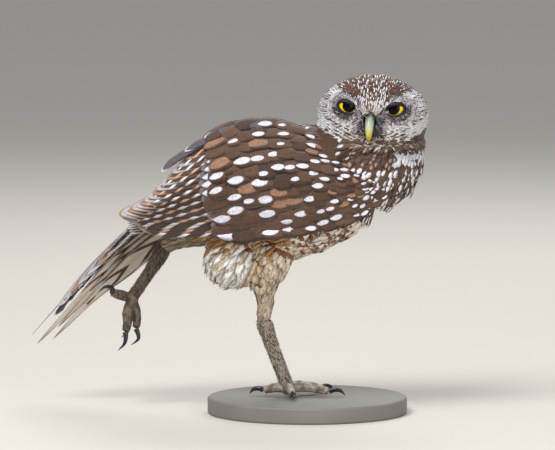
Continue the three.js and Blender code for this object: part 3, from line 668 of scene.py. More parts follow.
def body_looks(place, rng):
    """The body's markings by place: brown and spotted above, drops on the breast, chestnut bars on
    a pale belly, orange buff on the flanks, white down under the tail and cream legs, the stretched
    one greyer and darker with painted shade."""
    x, y, z = place.T
    n = len(place)
    looks = new_looks(n, rng, length=11.0, width=7.0, lift=0.2)
    chance = rng.random(n)
    jitter = rng.normal(0, 1, n)
    # Back: brown, with a pale spot on most feathers
    paint(looks, chance < 0.5, spot=(0.2, 0.74, 0.5), trim=(0.0, 0.1, 0.42))
    paint(looks, chance > 0.86, mark="#b98e6c", spot=(0.1, 0.74, 0.6))
    # Breast: a white drop along the shaft of about half of the feathers
    breast = (x > 34 + 2 * jitter) & (z < 148 + 1.5 * jitter)
    drops = {"spot": (0.0, 0.72, 0.62), "trim": (0.0, 0.05, 0.42)}
    paint(looks, breast, tint="#5d4436", mark="#e8e6ea", **drops, length=8.5, width=4.0)
    paint(looks, breast & (chance < 0.45), spot=NO_SPOT)
    # Bib under the chin, with a white patch on its left side
    bib = (x > 42) & (z > 143) & (y < 14)
    paint(looks, bib, tint="#5d473d", mark="#a98f7a", spot=NO_SPOT, length=6.5, width=3.2)
    paint(looks, bib & (chance < 0.3), spot=(0.0, 0.72, 0.5))
    patch = (x > 66 + jitter) & (z > 144) & (z < 153) & (y < 12)
    paint(looks, patch, tint="#e2e2e8", mark="#b6aeb0", spot=NO_SPOT, length=5.0)
    # Belly: cream feathers, most of them barred
    belly = (x < 48 + 3 * jitter) & (z < 114)
    barred = {"mark": "#7d4f33", "bars": (1.6, 0.15, 0.05), "spot": NO_SPOT, "trim": (0.0, 0.05, 0.5)}
    paint(looks, belly, tint="#e8ddcf", **barred, length=9.5, width=5.6, lift=0.22)
    looks["bars"][belly, 2] += rng.normal(0, 0.05, belly.sum())
    paint(looks, belly & (chance < 0.3), bars=NO_BARS)
    # Flank and thigh: loose orange-buff fluff, paler downwards, with chestnut blotches in front
    flank = (z < 104) & (x < 8 + 3 * jitter) & (y < 20)
    plain = {"mark": "#8f6240", "bars": NO_BARS, "spot": NO_SPOT, "trim": (0.0, 0.0, 0.5)}
    paint(looks, flank, tint="#bf8a58", **plain, length=10.0, width=3.0, lift=0.26)
    paint(looks, flank & (rng.random(n) < ease(100, 76, z)), tint="#e2cdb0")
    blotch = (z < 96) & (z > 70) & (x > -24 + 2 * jitter) & (y < 8) & (chance < 0.7)
    paint(looks, blotch, tint="#e4d3ba", mark="#8c5530", bars=(1.05, 0.0, 0.02), width=4.6)
    # White down under the tail, the standing leg in cream, and the stretched leg in greyer, darker fluff,
    # which is painted shade on the far leg
    vent = (x < -22 + 2.5 * jitter) & (z < 90 + 2 * jitter)
    standing = (z < 70) & (x > -22)
    stretched = (y > 9) & (x < -34) & (z < 106)
    for where, tint, other, share, length, width, lift in (
        (vent, "#f7f4ee", "#d9c6ab", 0.2, 12.0, 3.6, 0.34),
        (standing, "#d8c8b2", "#b39c82", 0.35, 5.5, 2.2, 0.2),
        (stretched, "#a3937d", "#85755f", 0.4, 6.0, 2.2, 0.2),
    ):
        paint(looks, where, tint=tint, **plain, length=length, width=width, lift=lift)
        paint(looks, where & (chance < share), tint=other)
    rump = (x < -50) & (z < 112) & (y < 9)
    paint(looks, rump, tint="#d9ccb8", **plain)
    return vary(looks, rng)


def head_looks(place, rng):
    """The head's markings in its own frame: a brown crown with white streaks, white brows that run
    up and out from the bill, grey rayed cheeks, dark bristles beside the bill, a white band with
    fine dark lines round the chin and a brown collar under it."""
    local = to_head(place)
    x, y, z = np.abs(local[:, 0]), local[:, 1], local[:, 2]
    n = len(place)
    looks = new_looks(n, rng, length=4.4, width=1.35, lift=0.2)
    chance, other = rng.random(n), rng.random(n)
    jitter = rng.normal(0, 0.35, n)
    front = y > 1 + 3 * jitter
    plain = {"trim": (0.0, 0.1, 0.5), "spot": NO_SPOT}
    # Crown and nape: brown, streaked with white, most of all over the bill
    paint(looks, slice(None), tint="#553b30", mark="#ece8ea", trim=(0.0, 0.1, 1.3))
    streaked = chance < mix(0.26, 0.5, bell(local[:, 0], 7))
    paint(looks, streaked, spot=(0.0, 0.6, 0.44))
    paint(looks, ~streaked & (other < 0.25), tint="#8a6650")
    crown_line = 8.6 + 0.5 * np.maximum(x - 5.5, 0) + jitter
    brow_line = 6.8 + 0.37 * (x - 7.5) + jitter
    # Cheeks: grey, with fine lines that ray out from the eyes and bill
    cheek = front & (z < brow_line)
    fine = {"length": 5.6, "width": 0.75, "lift": 0.13}
    paint(looks, cheek, tint="#b9b2b5", trim=(0.0, 0.3, 0.5), spot=NO_SPOT, **fine)
    for tint, chosen in (("#dedadc", other < 0.38), ("#7b6e70", other > 0.74), ("#51464a", other > 0.93)):
        paint(looks, cheek & chosen, tint=tint)
    brow = front & (z < crown_line) & (z >= brow_line)
    paint(looks, brow, tint="#e2e0e3", **plain, length=4.4, width=0.9)
    paint(looks, brow & (x > 17) & (other < 0.35), tint="#a89da0")
    # Bridge between the brows, and dark bristles beside the bill
    bridge = front & (x < 5.0) & (z < 7.5) & (z > 2.5)
    paint(looks, bridge, tint="#d8d0ca", trim=(0.0, 0.2, 0.5), width=0.9)
    paint(looks, bridge & (other < 0.35), tint="#6a4f42")
    # Painted shade under each eye: a darker grey on some of the feathers there
    shade_under_eye = np.hypot((x - EYE[0]) / 9.0, (z - EYE[2] + 1) / 6.6) < 1
    paint(looks, front & shade_under_eye & (z < EYE[2] + 2) & (other < 0.4), tint="#5a4f52")
    lore = front & (x < 8.5 - 0.3 * np.abs(z + 3)) & (z <= 3.0) & (z > -11)
    paint(looks, lore, tint="#48424a", trim=(0.0, 0.1, 0.5), length=4.6, width=0.6, lift=0.3)
    paint(looks, lore & (other < mix(0.1, 0.75, ease(3, 8, x))), tint="#b5aeb0")
    # Chin: a white band, cream near the bill and crossed by dark lines, over a brown collar
    band_top = CHIN_TOP + CHIN_TOP_RISE * x + jitter
    band_low = CHIN_LOW + CHIN_LOW_RISE * x + jitter
    band = (y > -6) & (z < band_top) & (z >= band_low)
    paint(looks, band, tint="#e6e3e4", **plain, length=5.5, width=0.7, lift=0.12)
    paint(looks, band & (x < 15) & (other < 0.5), tint="#dcc5a9")
    lines = band & (x < 23) & (np.sin((z - 0.42 * x) * 3.0 + 0.6 * jitter) > 0.35)
    paint(looks, lines, tint="#42322d")
    collar = (y > -10) & (z < band_low)
    paint(looks, collar, tint="#57433a", mark="#a68a74", spot=NO_SPOT, trim=(0.1, 0.1, 0.5))
    paint(looks, collar, length=5.2, width=2.0)
    # Sides of the head behind the cheeks
    side = ~front & (x > 22) & (z < 8) & (z > -14)
    paint(looks, side, tint="#9d8f8c", mark="#e0dcde", spot=(0.0, 0.6, 0.4))
    paint(looks, np.linalg.norm(np.stack([x, y, z], 1) - EYE, axis=1) < NEAR_EYE, length=2.6)
    return vary(looks, rng, 0.12)


def coat(name, slot, seed, spacing, part, looks_of, unwrap, stray, size_range, lift_range, **more):
    """One piece of small feathers scattered over a part of the skin. Each strays a little from the
    flow of the plumage and from its set length, width and lift."""
    rng = np.random.default_rng(seed)
    step = spacing * bpy.context.scene.owl_sizes.spacing
    place, normal = scatter(bpy.data.objects["skin"], step, rng, part)
    looks = looks_of(place, rng)
    lie = flow(place) + rng.normal(0, stray, place.shape)
    ranges = {"length": size_range, "width": size_range, "lift": lift_range}
    length, width, lift = (looks[key] * rng.uniform(*limits, len(place)) for key, limits in ranges.items())
    piece = lay(name, place, normal, lie, length, width, lift, looks, unwrap(place), **more)
    finish_piece(piece, slot, feather_material(name.replace("feathers", "plumage")))


def feather_tier(name, sheet, root, tip, width, lift, looks, rooted, rows=18, cols=5, steepest=34.0,
                 blunt=7.0, narrow=None, face=1, **more):
    """A row of long feathers along a sheet. A centre line runs straight in the sheet's own measures
    and rises from its root's height to its tip's; each vane leans on its neighbour by the angle that
    its thickness makes over the distance between them. The half width closes as a power of the
    distance to the tip; a fingered vane narrows over its last third."""
    width, lift = np.broadcast_to(width, len(root)), np.broadcast_to(lift, (len(root), 2))
    t = 1 - (1 - np.linspace(0, 1, rows)) ** 1.5
    at = mix(root[:, None], tip[:, None], t[None, :, None])
    out = sheet.normal(at[..., 0], at[..., 1])
    rise = mix(lift[:, :1], lift[:, 1:], 1 - (1 - t) ** 3)
    centre = sheet.place(at[..., 0], at[..., 1]) + out * rise[..., None]
    out = out * face
    along = unit(np.gradient(centre, axis=1))
    side = unit(np.cross(along, out))
    beside = np.concatenate([centre[1:], centre[-2:-1]])
    spacing = np.maximum(np.abs(np.sum((beside - centre) * side, -1)), 1e-3)
    lean = -face * sheet.outward * np.minimum(np.radians(steepest), np.arctan(0.55 / spacing))[..., None]
    up = unit(out * np.cos(lean) + side * np.sin(lean))
    outline = np.sqrt(0.1 + 0.9 * t) * (1 - t**blunt) ** 0.6 + 0.02
    outline = np.repeat(outline[None] / outline.max(), len(root), 0)
    if narrow is not None:
        outline = outline * mix(1, mix(1, 0.34, ease(0.6, 0.86, t)), narrow[:, None])
    looks["stations"] = t
    return feathers(name, centre, along, up, width[:, None] / 2 * outline, looks, rooted, cols=cols, **more)


def wing_tier(kind, name, root, tip, width, lift, looks, **more):
    """A row of feathers along the sheet of the wing with this name."""
    rooted = wing_unwrap(root, name)
    return feather_tier(f"{kind}_{name}", SHEETS[name], root, tip, width, lift, looks, rooted, **more)


def between(points, count):
    """Points along a spline through pairs of sheet measures."""
    return spline(points, np.linspace(0, 1, count))


class OwlColours(bpy.types.PropertyGroup):
    brown: bpy.props.FloatVectorProperty(
        name="Brown", description="Ground colour of the back and wings", subtype="COLOR",
        default=tuple(srgb("#5a4235")))
    spot: bpy.props.FloatVectorProperty(
        name="Spots", description="Pale spots of the back and wings", subtype="COLOR",
        default=tuple(srgb("#dadae6")))
    iris: bpy.props.FloatVectorProperty(
        name="Iris", description="Colour of the eyes", subtype="COLOR", default=tuple(srgb("#efc414")))
    floor: bpy.props.FloatVectorProperty(
        name="Floor", description="Colour of the floor", subtype="COLOR", default=tuple(srgb("#cfc9c0")))


class OwlSizes(bpy.types.PropertyGroup):
    spacing: bpy.props.FloatProperty(
        name="Feather spacing", description="Multiplies the distance between small feathers", default=1.0,
        min=0.5, max=4.0, subtype="FACTOR")
    pupil: bpy.props.FloatProperty(
        name="Pupil radius", description="Radius of each pupil", default=3.9 * MM, min=0.001, max=0.007,
        unit="LENGTH")


class OWL_OT_skin(bpy.types.Operator):
    """One skin over the head, neck, body and thighs, drawn in by the depth of the plumage"""

    bl_idname = "owl.skin"
    bl_label = "Skin"

    def execute(self, context):
        replaced = ("torso", "neck", "head", "thigh_right", "thigh_left")
        parts = [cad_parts[name] for name in replaced] + [pad_mesh("right"), pad_mesh("left")]
        skin = fused("skin", parts, 1.1, 5, COAT_DEPTH)
        place, _ = points_of(skin)
        rng = np.random.default_rng(1)
        near = ease(1.3, 1.1, np.linalg.norm(to_head(place) / HEAD_HALF, axis=1))[:, None]
        # The skin takes the colour of the feathers over it, darkened by a fifth as painted shade under the
        # plumage
        tint = mix(body_looks(place, rng)["tint"], head_looks(place, rng)["tint"], near) * 0.8
        give(skin.data, "tint", np.concatenate([tint, np.ones((len(tint), 1))], 1))
        # Down close to the skin: soft, matt and a little mottled
        material, tree, shader, _, grain = grained("down", 0.9, 900.0, 3.0, Specular_IOR_Level=0.15)
        colour = add(tree, "Attribute", out="Color", attribute_name="tint")
        light = add(tree, "MapRange", {0: grain, 1: 0.3, 2: 0.7, 3: 0.7, 4: 1.1})
        wire(tree, shader, colour, light, grain, 0.6, 0.0006)
        finish_piece(skin, "plumage_brown", material, *replaced)
        return {"FINISHED"}


class OWL_OT_head_coat(bpy.types.Operator):
    """Small feathers of the crown, face, chin and collar"""

    bl_idname = "owl.head_coat"
    bl_label = "Head feathers"

    def execute(self, context):
        def clear(place):
            local = to_head(place)
            size = np.linalg.norm(local / HEAD_HALF, axis=1)
            bill = np.hypot(local[:, 0], local[:, 2] + 4)
            keep = (size < 1.2) & (place[:, 2] > 143) & ~((bill < 3.0) & (local[:, 1] > 18))
            for side in (-1, 1):
                off = (local - EYE * [side, 1, 1] - [0, 0, OPENING_RISE]) @ turn("y", -side * EYE_SLANT)
                inside = np.hypot(off[:, 0] / (OPENING[0] + 1.0), off[:, 2] / (OPENING[1] + 0.8)) < 1
                keep &= ~(inside & (off[:, 1] > 0))
            return keep

        def in_front(place):
            local = to_head(place)
            return (local[:, 1] > 0) & (local[:, 2] < 12 + 0.3 * np.abs(local[:, 0]))

        for seed, name, spacing, part in (
            (11, "face_feathers", 0.95, lambda p: clear(p) & in_front(p)),
            (12, "crown_feathers", 1.4, lambda p: clear(p) & ~in_front(p)),
        ):
            coat(
                name, "plumage_brown", seed, spacing, part, head_looks, head_unwrap, 0.06, (0.8, 1.2),
                (0.6, 1.6), flat=True, bend=0.28)
        return {"FINISHED"}


class OWL_OT_body_coat(bpy.types.Operator):
    """Contour feathers of the back, breast, belly, flanks and thighs"""

    bl_idname = "owl.body_coat"
    bl_label = "Body feathers"

    def execute(self, context):
        def clear(place):
            size = np.linalg.norm(to_head(place) / HEAD_HALF, axis=1)
            keep = (size > 1.08) | (place[:, 2] < 150)
            for name in ("right", "left"):
                keep &= sheet_distance(place, name, (0.1, 0.56), (0.0, 0.97)) > 5.5
            return keep

        def fine(place):
            return (place[:, 2] < 104) & (place[:, 0] < 8)

        def back(place):
            return (place[:, 2] > 118) & (place[:, 0] < 36)

        def front(place):
            return ~back(place) & ~fine(place)

        for seed, name, spacing, rows, flat, slot, part in (
            (23, "back_feathers", 3.6, 7, False, "plumage_brown", lambda p: clear(p) & back(p)),
            (24, "breast_feathers", 2.3, 6, False, "plumage_brown", lambda p: clear(p) & front(p)),
            (25, "flank_feathers", 1.7, 5, True, "plumage_pale", lambda p: clear(p) & fine(p)),
        ):
            coat(
                name, slot, seed, spacing, part, body_looks, body_unwrap, 0.1, (0.85, 1.2), (0.5, 1.4),
                rows=rows, flat=flat, round_tip=2.0 if flat else 4.0)
        return {"FINISHED"}


def covert_rows(rng, upto):
    """Small feathers of a wing in staggered rows: sheet measures of their roots and tips, their
    widths, and the number of each one's row."""
    roots, tips, widths, order = [], [], [], []
    s, row = -0.03, 0
    while s < upto:
        grow = np.clip(s / upto, 0, 1)
        gap = mix(0.075, 0.125, ease(0.1, 1.0, grow))
        w = np.arange(-0.02, 1.0, gap) + (gap / 2 if row % 2 else 0.0)
        w = np.clip(w + rng.normal(0, 0.012, len(w)), -0.03, 1.01)
        start = s + rng.normal(0, 0.006, len(w))
        length = mix(0.08, 0.15, ease(0.0, 1.0, grow)) * rng.uniform(0.92, 1.1, len(w))
        roots.append(np.stack([start, w + 0.01], 1))
        tips.append(np.stack([start + length, w - 0.04], 1))
        widths.append(np.full(len(w), mix(5.6, 11.5, ease(0.0, 0.9, grow))))
        order.append(np.full(len(w), row))
        s += mix(0.026, 0.046, ease(0.0, 1.0, grow))
        row += 1
    return np.vstack(roots), np.vstack(tips), np.concatenate(widths), np.concatenate(order)


def flight_looks(name, count, rng):
    """Primaries, then secondaries: dark brown with pale fringes and a row of pale squares on the
    outer web; pale under the wing, with dark patches."""
    looks = new_looks(count, rng)
    share = np.linspace(0, 1, count)
    primary = share < 0.5
    looks["tint"] = mix(srgb("#4a3830"), srgb("#533e32"), share[:, None])
    looks["mark"] = np.where((np.arange(count) % 3 == 1)[:, None], srgb("#c59e83"), srgb("#dcd8dc"))
    looks["bars"] = np.stack([np.full(count, 6.5), np.where(primary, 0.5, 0.55), np.arange(count) * 0.37], -1)
    web = {"right": -1.0, "left": 0.0}[name]
    looks["web"] = np.stack([np.full(count, web), np.where(primary, 0.84, 0.94), np.zeros(count)], -1)
    looks["trim"] = np.tile([0.6, 0.25, 0.5], (count, 1))
    looks["under_tint"] = mix(srgb("#ddd4c8"), srgb("#cdbfad"), rng.random((count, 1)))
    looks["under_mark"] = np.tile(srgb("#564639"), (count, 1))
    return looks


class OWL_OT_wings(bpy.types.Operator):
    """Flight feathers and coverts of both wings"""

    bl_idname = "owl.wings"
    bl_label = "Wings"

    def execute(self, context):
        colours = context.scene.owl_colours
        plans = {
            "right": {
                "roots": [(0.44, 0.03), (0.41, 0.1), (0.37, 0.35), (0.33, 0.8)],
                "tips": [(0.92, 0.0), (1.0, 0.3), (0.94, 0.5), (0.87, 0.62), (0.8, 0.78), (0.71, 0.94)],
                "fingers": [],
            },
            "left": {
                "roots": [(0.46, 0.1), (0.42, 0.5), (0.34, 0.9)],
                "tips": [(0.92, 0.95), (0.86, 1.0), (0.77, 1.0), (0.67, 1.0), (0.58, 1.0)],
                "fingers": [(0.972, 0.0), (0.955, 0.12), (1.0, 0.22), (0.935, 0.45), (0.98, 0.9)],
            },
        }
        for name, plan in plans.items():
            rng = np.random.default_rng({"right": 31, "left": 37}[name])
            count, fingers = 20, len(plan["fingers"])
            root = between(plan["roots"], count)
            tip = np.array(plan["fingers"] + between(plan["tips"], count - fingers).tolist())
            looks = vary(flight_looks(name, count, rng), rng, 0.1)
            narrow = (np.arange(count) < fingers).astype(float)
            long = wing_tier(
                "flight", name, root, tip, 12.0, (-5.0, 0.0), looks, rows=30, cols=7, thick=0.3,
                narrow=narrow)
            material = feather_material(f"flight_plumage_{name}", 0.6, 0.2)
            finish_piece(long, "plumage_brown", material, f"wing_{name}")
            # Greater coverts, their brown darkened by 0.85 as painted shade under the ruffled feathers along
            # the upper edge
            count = 13
            root = between([(0.22, 0.0), (0.24, 0.5), (0.22, 0.97)], count)
            tip = between([(0.62, -0.02), (0.66, 0.5), (0.6, 0.95)], count)
            outer = {"right": -0.5, "left": 0.5}[name]
            looks = row_looks(
                count, rng, tint=np.array(colours.brown) * 0.85, mark=colours.spot, spot=(outer, 0.9, 0.55),
                trim=(0.15, 0.2, 0.13))
            great = wing_tier("great", name, root, tip, 12.5, (-4.0, 1.8), looks, rows=16)
            # Small coverts in rows
            root, tip, width, order = covert_rows(rng, 0.47)
            count = len(root)
            looks = row_looks(count, rng, 0.2, mark=colours.spot)
            looks["tint"] = looks["tint"] / srgb(GROUND) * np.array(colours.brown)
            chance = rng.random(count)
            paint(looks, chance < 0.62, spot=(outer * 0.3, 0.8, 0.37), trim=(0.0, 0.15, 0.45))
            looks["spot"][:, 0] += rng.normal(0, 0.16, count)
            looks["spot"][:, 2] *= rng.uniform(0.7, 1.25, count)
            paint(looks, chance > 0.9, mark="#94705a", spot=(0.0, 0.75, 0.55), trim=(0.0, 0.15, 0.5))
            paint(looks, rng.random(count) < 0.18, tint="#46342b")
            height = 2.0 + 0.06 * order[:, None] + rng.normal(0, 0.15, (count, 1))
            lift = np.concatenate([np.full((count, 1), -2.4), height], 1)
            small = wing_tier("small", name, root, tip, width, lift, looks, rows=9, steepest=6.0)
            # Ruffled feathers along the upper edge, dusky with pale fringes and chestnut underneath
            count = 9
            root = between([(0.34, 0.92), (0.6, 0.94)], count)
            tip = between([(0.5, 0.99), (0.8, 1.0)], count) + rng.normal(0, 0.008, (count, 2))
            looks = row_looks(
                count, rng, tint="#5d535c", mark="#d9d6de", trim=(0.9, 0.3, 0.5), under_tint="#8f6243")
            lift = np.stack([np.full(count, 0.2), rng.uniform(1.2, 3.0, count)], 1)
            ruffled = wing_tier("ruffled", name, root, tip, 6.6, lift, looks, rows=10, steepest=3.0)
            coverts = [great, small, ruffled]
            if name == "left":
                # Slate-blue feathers with white fringes on the near face of the trailing edge
                root = between([(0.6, 0.8), (0.84, 0.92)], count)
                tip = between([(0.7, 0.98), (0.93, 1.03)], count)
                looks = row_looks(count, rng, tint="#33364a", mark="#e4e4ee", trim=(1.0, 0.3, 0.5))
                coverts.append(wing_tier(
                    "slate", name, root, tip, 8.0, (-0.5, -2.6), looks, rows=10, steepest=3.0, face=-1))
            piece = joined(f"coverts_{name}", coverts)
            finish_piece(piece, "plumage_brown", feather_material(f"covert_plumage_{name}"))
        return {"FINISHED"}


class OWL_OT_tail(bpy.types.Operator):
    """The twelve tail feathers and the coverts over their roots"""

    bl_idname = "owl.tail"
    bl_label = "Tail"

    def execute(self, context):
        rng = np.random.default_rng(41)
        sheet = SHEETS["tail"]
        count = 12
        root = between([(0.16, 0.3), (0.16, 0.7)], count)
        tip = between([(0.94, 0.02), (1, 0.5), (0.94, 0.98)], count)
        looks = row_looks(
            count, rng, tint="#3b3234", mark="#d8cfc6", bars=(4.2, 0.55, 0.1), trim=(0.9, 0.2, 0.5),
            under_tint="#8d8378")
        rooted = np.stack([root[:, 0] * 0.4, root[:, 1]], -1)
        long = feather_tier(
            "tail_long", sheet, root, tip, 9.5, (-2.0, 0.0), looks, rooted, rows=22, cols=7, thick=0.3)
        count = 40
        root = np.stack([rng.uniform(0.0, 0.34, count), rng.uniform(0.1, 0.9, count)], -1)
        tip = root + np.stack([rng.uniform(0.26, 0.4, count), (root[:, 1] - 0.5) * 0.3], -1)
        looks = row_looks(count, rng)
        paint(looks, rng.random(count) < 0.5, spot=(0.2, 0.8, 0.5), trim=(0.0, 0.1, 0.4))
        rooted = np.stack([0.45 + root[:, 0] * 0.4, root[:, 1]], -1)
        short = feather_tier(
            "tail_short", sheet, root, tip, 9.0, (0.0, 2.4), looks, rooted, rows=8, steepest=4.0)
        piece = joined("tail_feathers", [long, short])
        finish_piece(piece, "plumage_brown", feather_material("tail_plumage", 0.6, 0.2), "tail")
        return {"FINISHED"}


class OWL_OT_legs(bpy.types.Operator):
    """Scaly shanks and toes with short bristles"""

    bl_idname = "owl.legs"
    bl_label = "Legs and feet"

    def execute(self, context):
        # The left leg's tones are the right's darkened: painted shade on the stretched far leg, on its scales
        # and its bristles
        for name, tone, dark, ankle, down in (
            ("right", "#b8ab9a", "#6e6153", 9.0, (0.35, 0.0, -1.0)),
            ("left", "#7d6c5b", "#473a30", 60.0, (-0.5, 0.1, -0.85)),
        ):
            replaced = (f"tarsus_{name}", f"foot_{name}")
            leg = fused(f"leg_{name}", [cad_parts[n] for n in replaced], 0.45, 4, 0.05)
            # Horny scales: leathery, with a net of grooves drawn about 0.9 mm apart
            material, tree, shader = surface(f"scaly_skin_{name}", 0.6)
            where = add(tree, "TexCoord", out="Object")
            gap = add(tree, "TexVoronoi", {"Vector": where, "Scale": 1100.0}, feature="DISTANCE_TO_EDGE")
            blotch = add(tree, "TexNoise", {"Vector": where, "Scale": 260.0, "Detail": 4.0}, out="Fac")
            groove = add(tree, "MapRange", {0: gap, 1: 0.0, 2: 0.18, 3: 0.5, 4: 1.0})
            share = add(tree, "MapRange", {0: blotch, 1: 0.4, 2: 0.62})
            tones = {6: (*srgb(dark), 1), 7: (*srgb(tone), 1)}
            ground = add(tree, "Mix", {0: share, **tones}, out=2, data_type="RGBA")
            wire(tree, shader, ground, groove, groove, 0.7, 0.0004)
            finish_piece(leg, "leg_skin", material, *replaced)
            rng = np.random.default_rng(53)
            place, normal = scatter(leg, 1.0, rng, lambda p, above=ankle: p[:, 2] > above)
            looks = new_looks(len(place), rng)
            paint(looks, slice(None), tint=tone)
            paint(looks, looks["own"] < 0.4, tint=dark)
            lie = np.array(down) + rng.normal(0, 0.1, place.shape)
            length, lift = rng.uniform(1.6, 3.2, len(place)), rng.uniform(0.15, 0.5, len(place))
            piece = lay(
                f"leg_bristles_{name}", place, normal, lie, length, 0.5, lift, vary(looks, rng),
                body_unwrap(place), rows=4, flat=True, round_tip=1.5, sink=0.1, bend=0.2)
            finish_piece(piece, "leg_skin", feather_material(f"leg_bristle_{name}"))
        return {"FINISHED"}


class OWL_OT_claws(bpy.types.Operator):
    """Eight black claws"""

    bl_idname = "owl.claws"
    bl_label = "Claws"

    def execute(self, context):
        # Black horn: smooth and glossy, faintly clouded
        material, tree, shader, _, grain = grained("black_horn", 0.28, 700.0, 2.0)
        light = add(tree, "MapRange", {0: grain, 1: 0.3, 2: 0.7, 3: 0.7, 4: 1.4})
        wire(tree, shader, tuple(srgb("#1b1b22")), light)
        for name, paths in (("right", CLAWS_RIGHT), ("left", CLAWS_LEFT)):
            places, faces = swept(paths, [CLAW_SIZE] * len(paths), 14, 18, np.array([0.3, 1, 0.2]))
            claws = [f"claw_{name}_{number}" for number in (1, 2, 3, 4)]
            finish_piece(object_of(f"claws_{name}", places, faces), "claw_horn", material, *claws)
        return {"FINISHED"}


class OWL_OT_bill(bpy.types.Operator):
    """The hooked upper bill and the lower bill"""

    bl_idname = "owl.bill"
    bl_label = "Bill"

    def execute(self, context):
        # Horn: greenish grey at the root and dull yellow towards the tip
        material, tree, shader, where, grain = grained("bill_horn", 0.36, 500.0, 3.0)
        height = add(tree, "SeparateXYZ", {0: where}, out=2)
        root, tip = ((from_head(place) + ANKLE)[2] * MM for place in ((0, 28, 1), (0, 29, -13)))
        share = add(tree, "MapRange", {0: height, 1: root, 2: tip})
        share = add(tree, "Math", {0: grain, 1: 0.25, 2: share}, operation="MULTIPLY_ADD")
        ramp = add(tree, "ValToRGB", {0: share})
        stops = ((0.12, "#8f9a8e"), (0.45, "#b3b891"), (0.75, "#c2b552"), (1.0, "#a08c45"))
        elements = ramp.node.color_ramp.elements
        while len(elements) < len(stops):
            elements.new(0.5)
        for element, (at, code) in zip(elements, stops):
            element.position, element.color = at, (*srgb(code), 1)
        wire(tree, shader, ramp, 1.0, grain, 0.2, 0.0002)
        across = HEAD @ np.array([1.0, 0, 0])
        for name, path, size in (
            ("upper", BILL_UPPER, BILL_UPPER_SIZE),
            ("lower", BILL_LOWER, BILL_LOWER_SIZE),
        ):
            places, faces = swept([from_head(path)], [size], 28, 36, across)
            finish_piece(object_of(f"bill_{name}_horn", places, faces), "bill_horn", material, f"bill_{name}")
        return {"FINISHED"}


def eyeball_mesh(name, centre, gaze):
    """A ball whose poles lie on its line of sight, from rings of even angles."""
    steps, sides = 40, 64
    polar = np.linspace(0, np.pi, steps)[1:-1, None, None]
    turns = np.linspace(0, 2 * np.pi, sides, endpoint=False)[:, None]
    side = unit(np.cross(gaze, [0, 0, 1.0]))
    up = np.cross(side, gaze)
    ring = np.cos(polar) * gaze + np.sin(polar) * (np.cos(turns) * side + np.sin(turns) * up)
    places = centre + EYE_RADIUS * np.vstack([ring.reshape(-1, 3), gaze, -gaze])
    return object_of(name, places, tube_faces(0, steps - 2, sides))


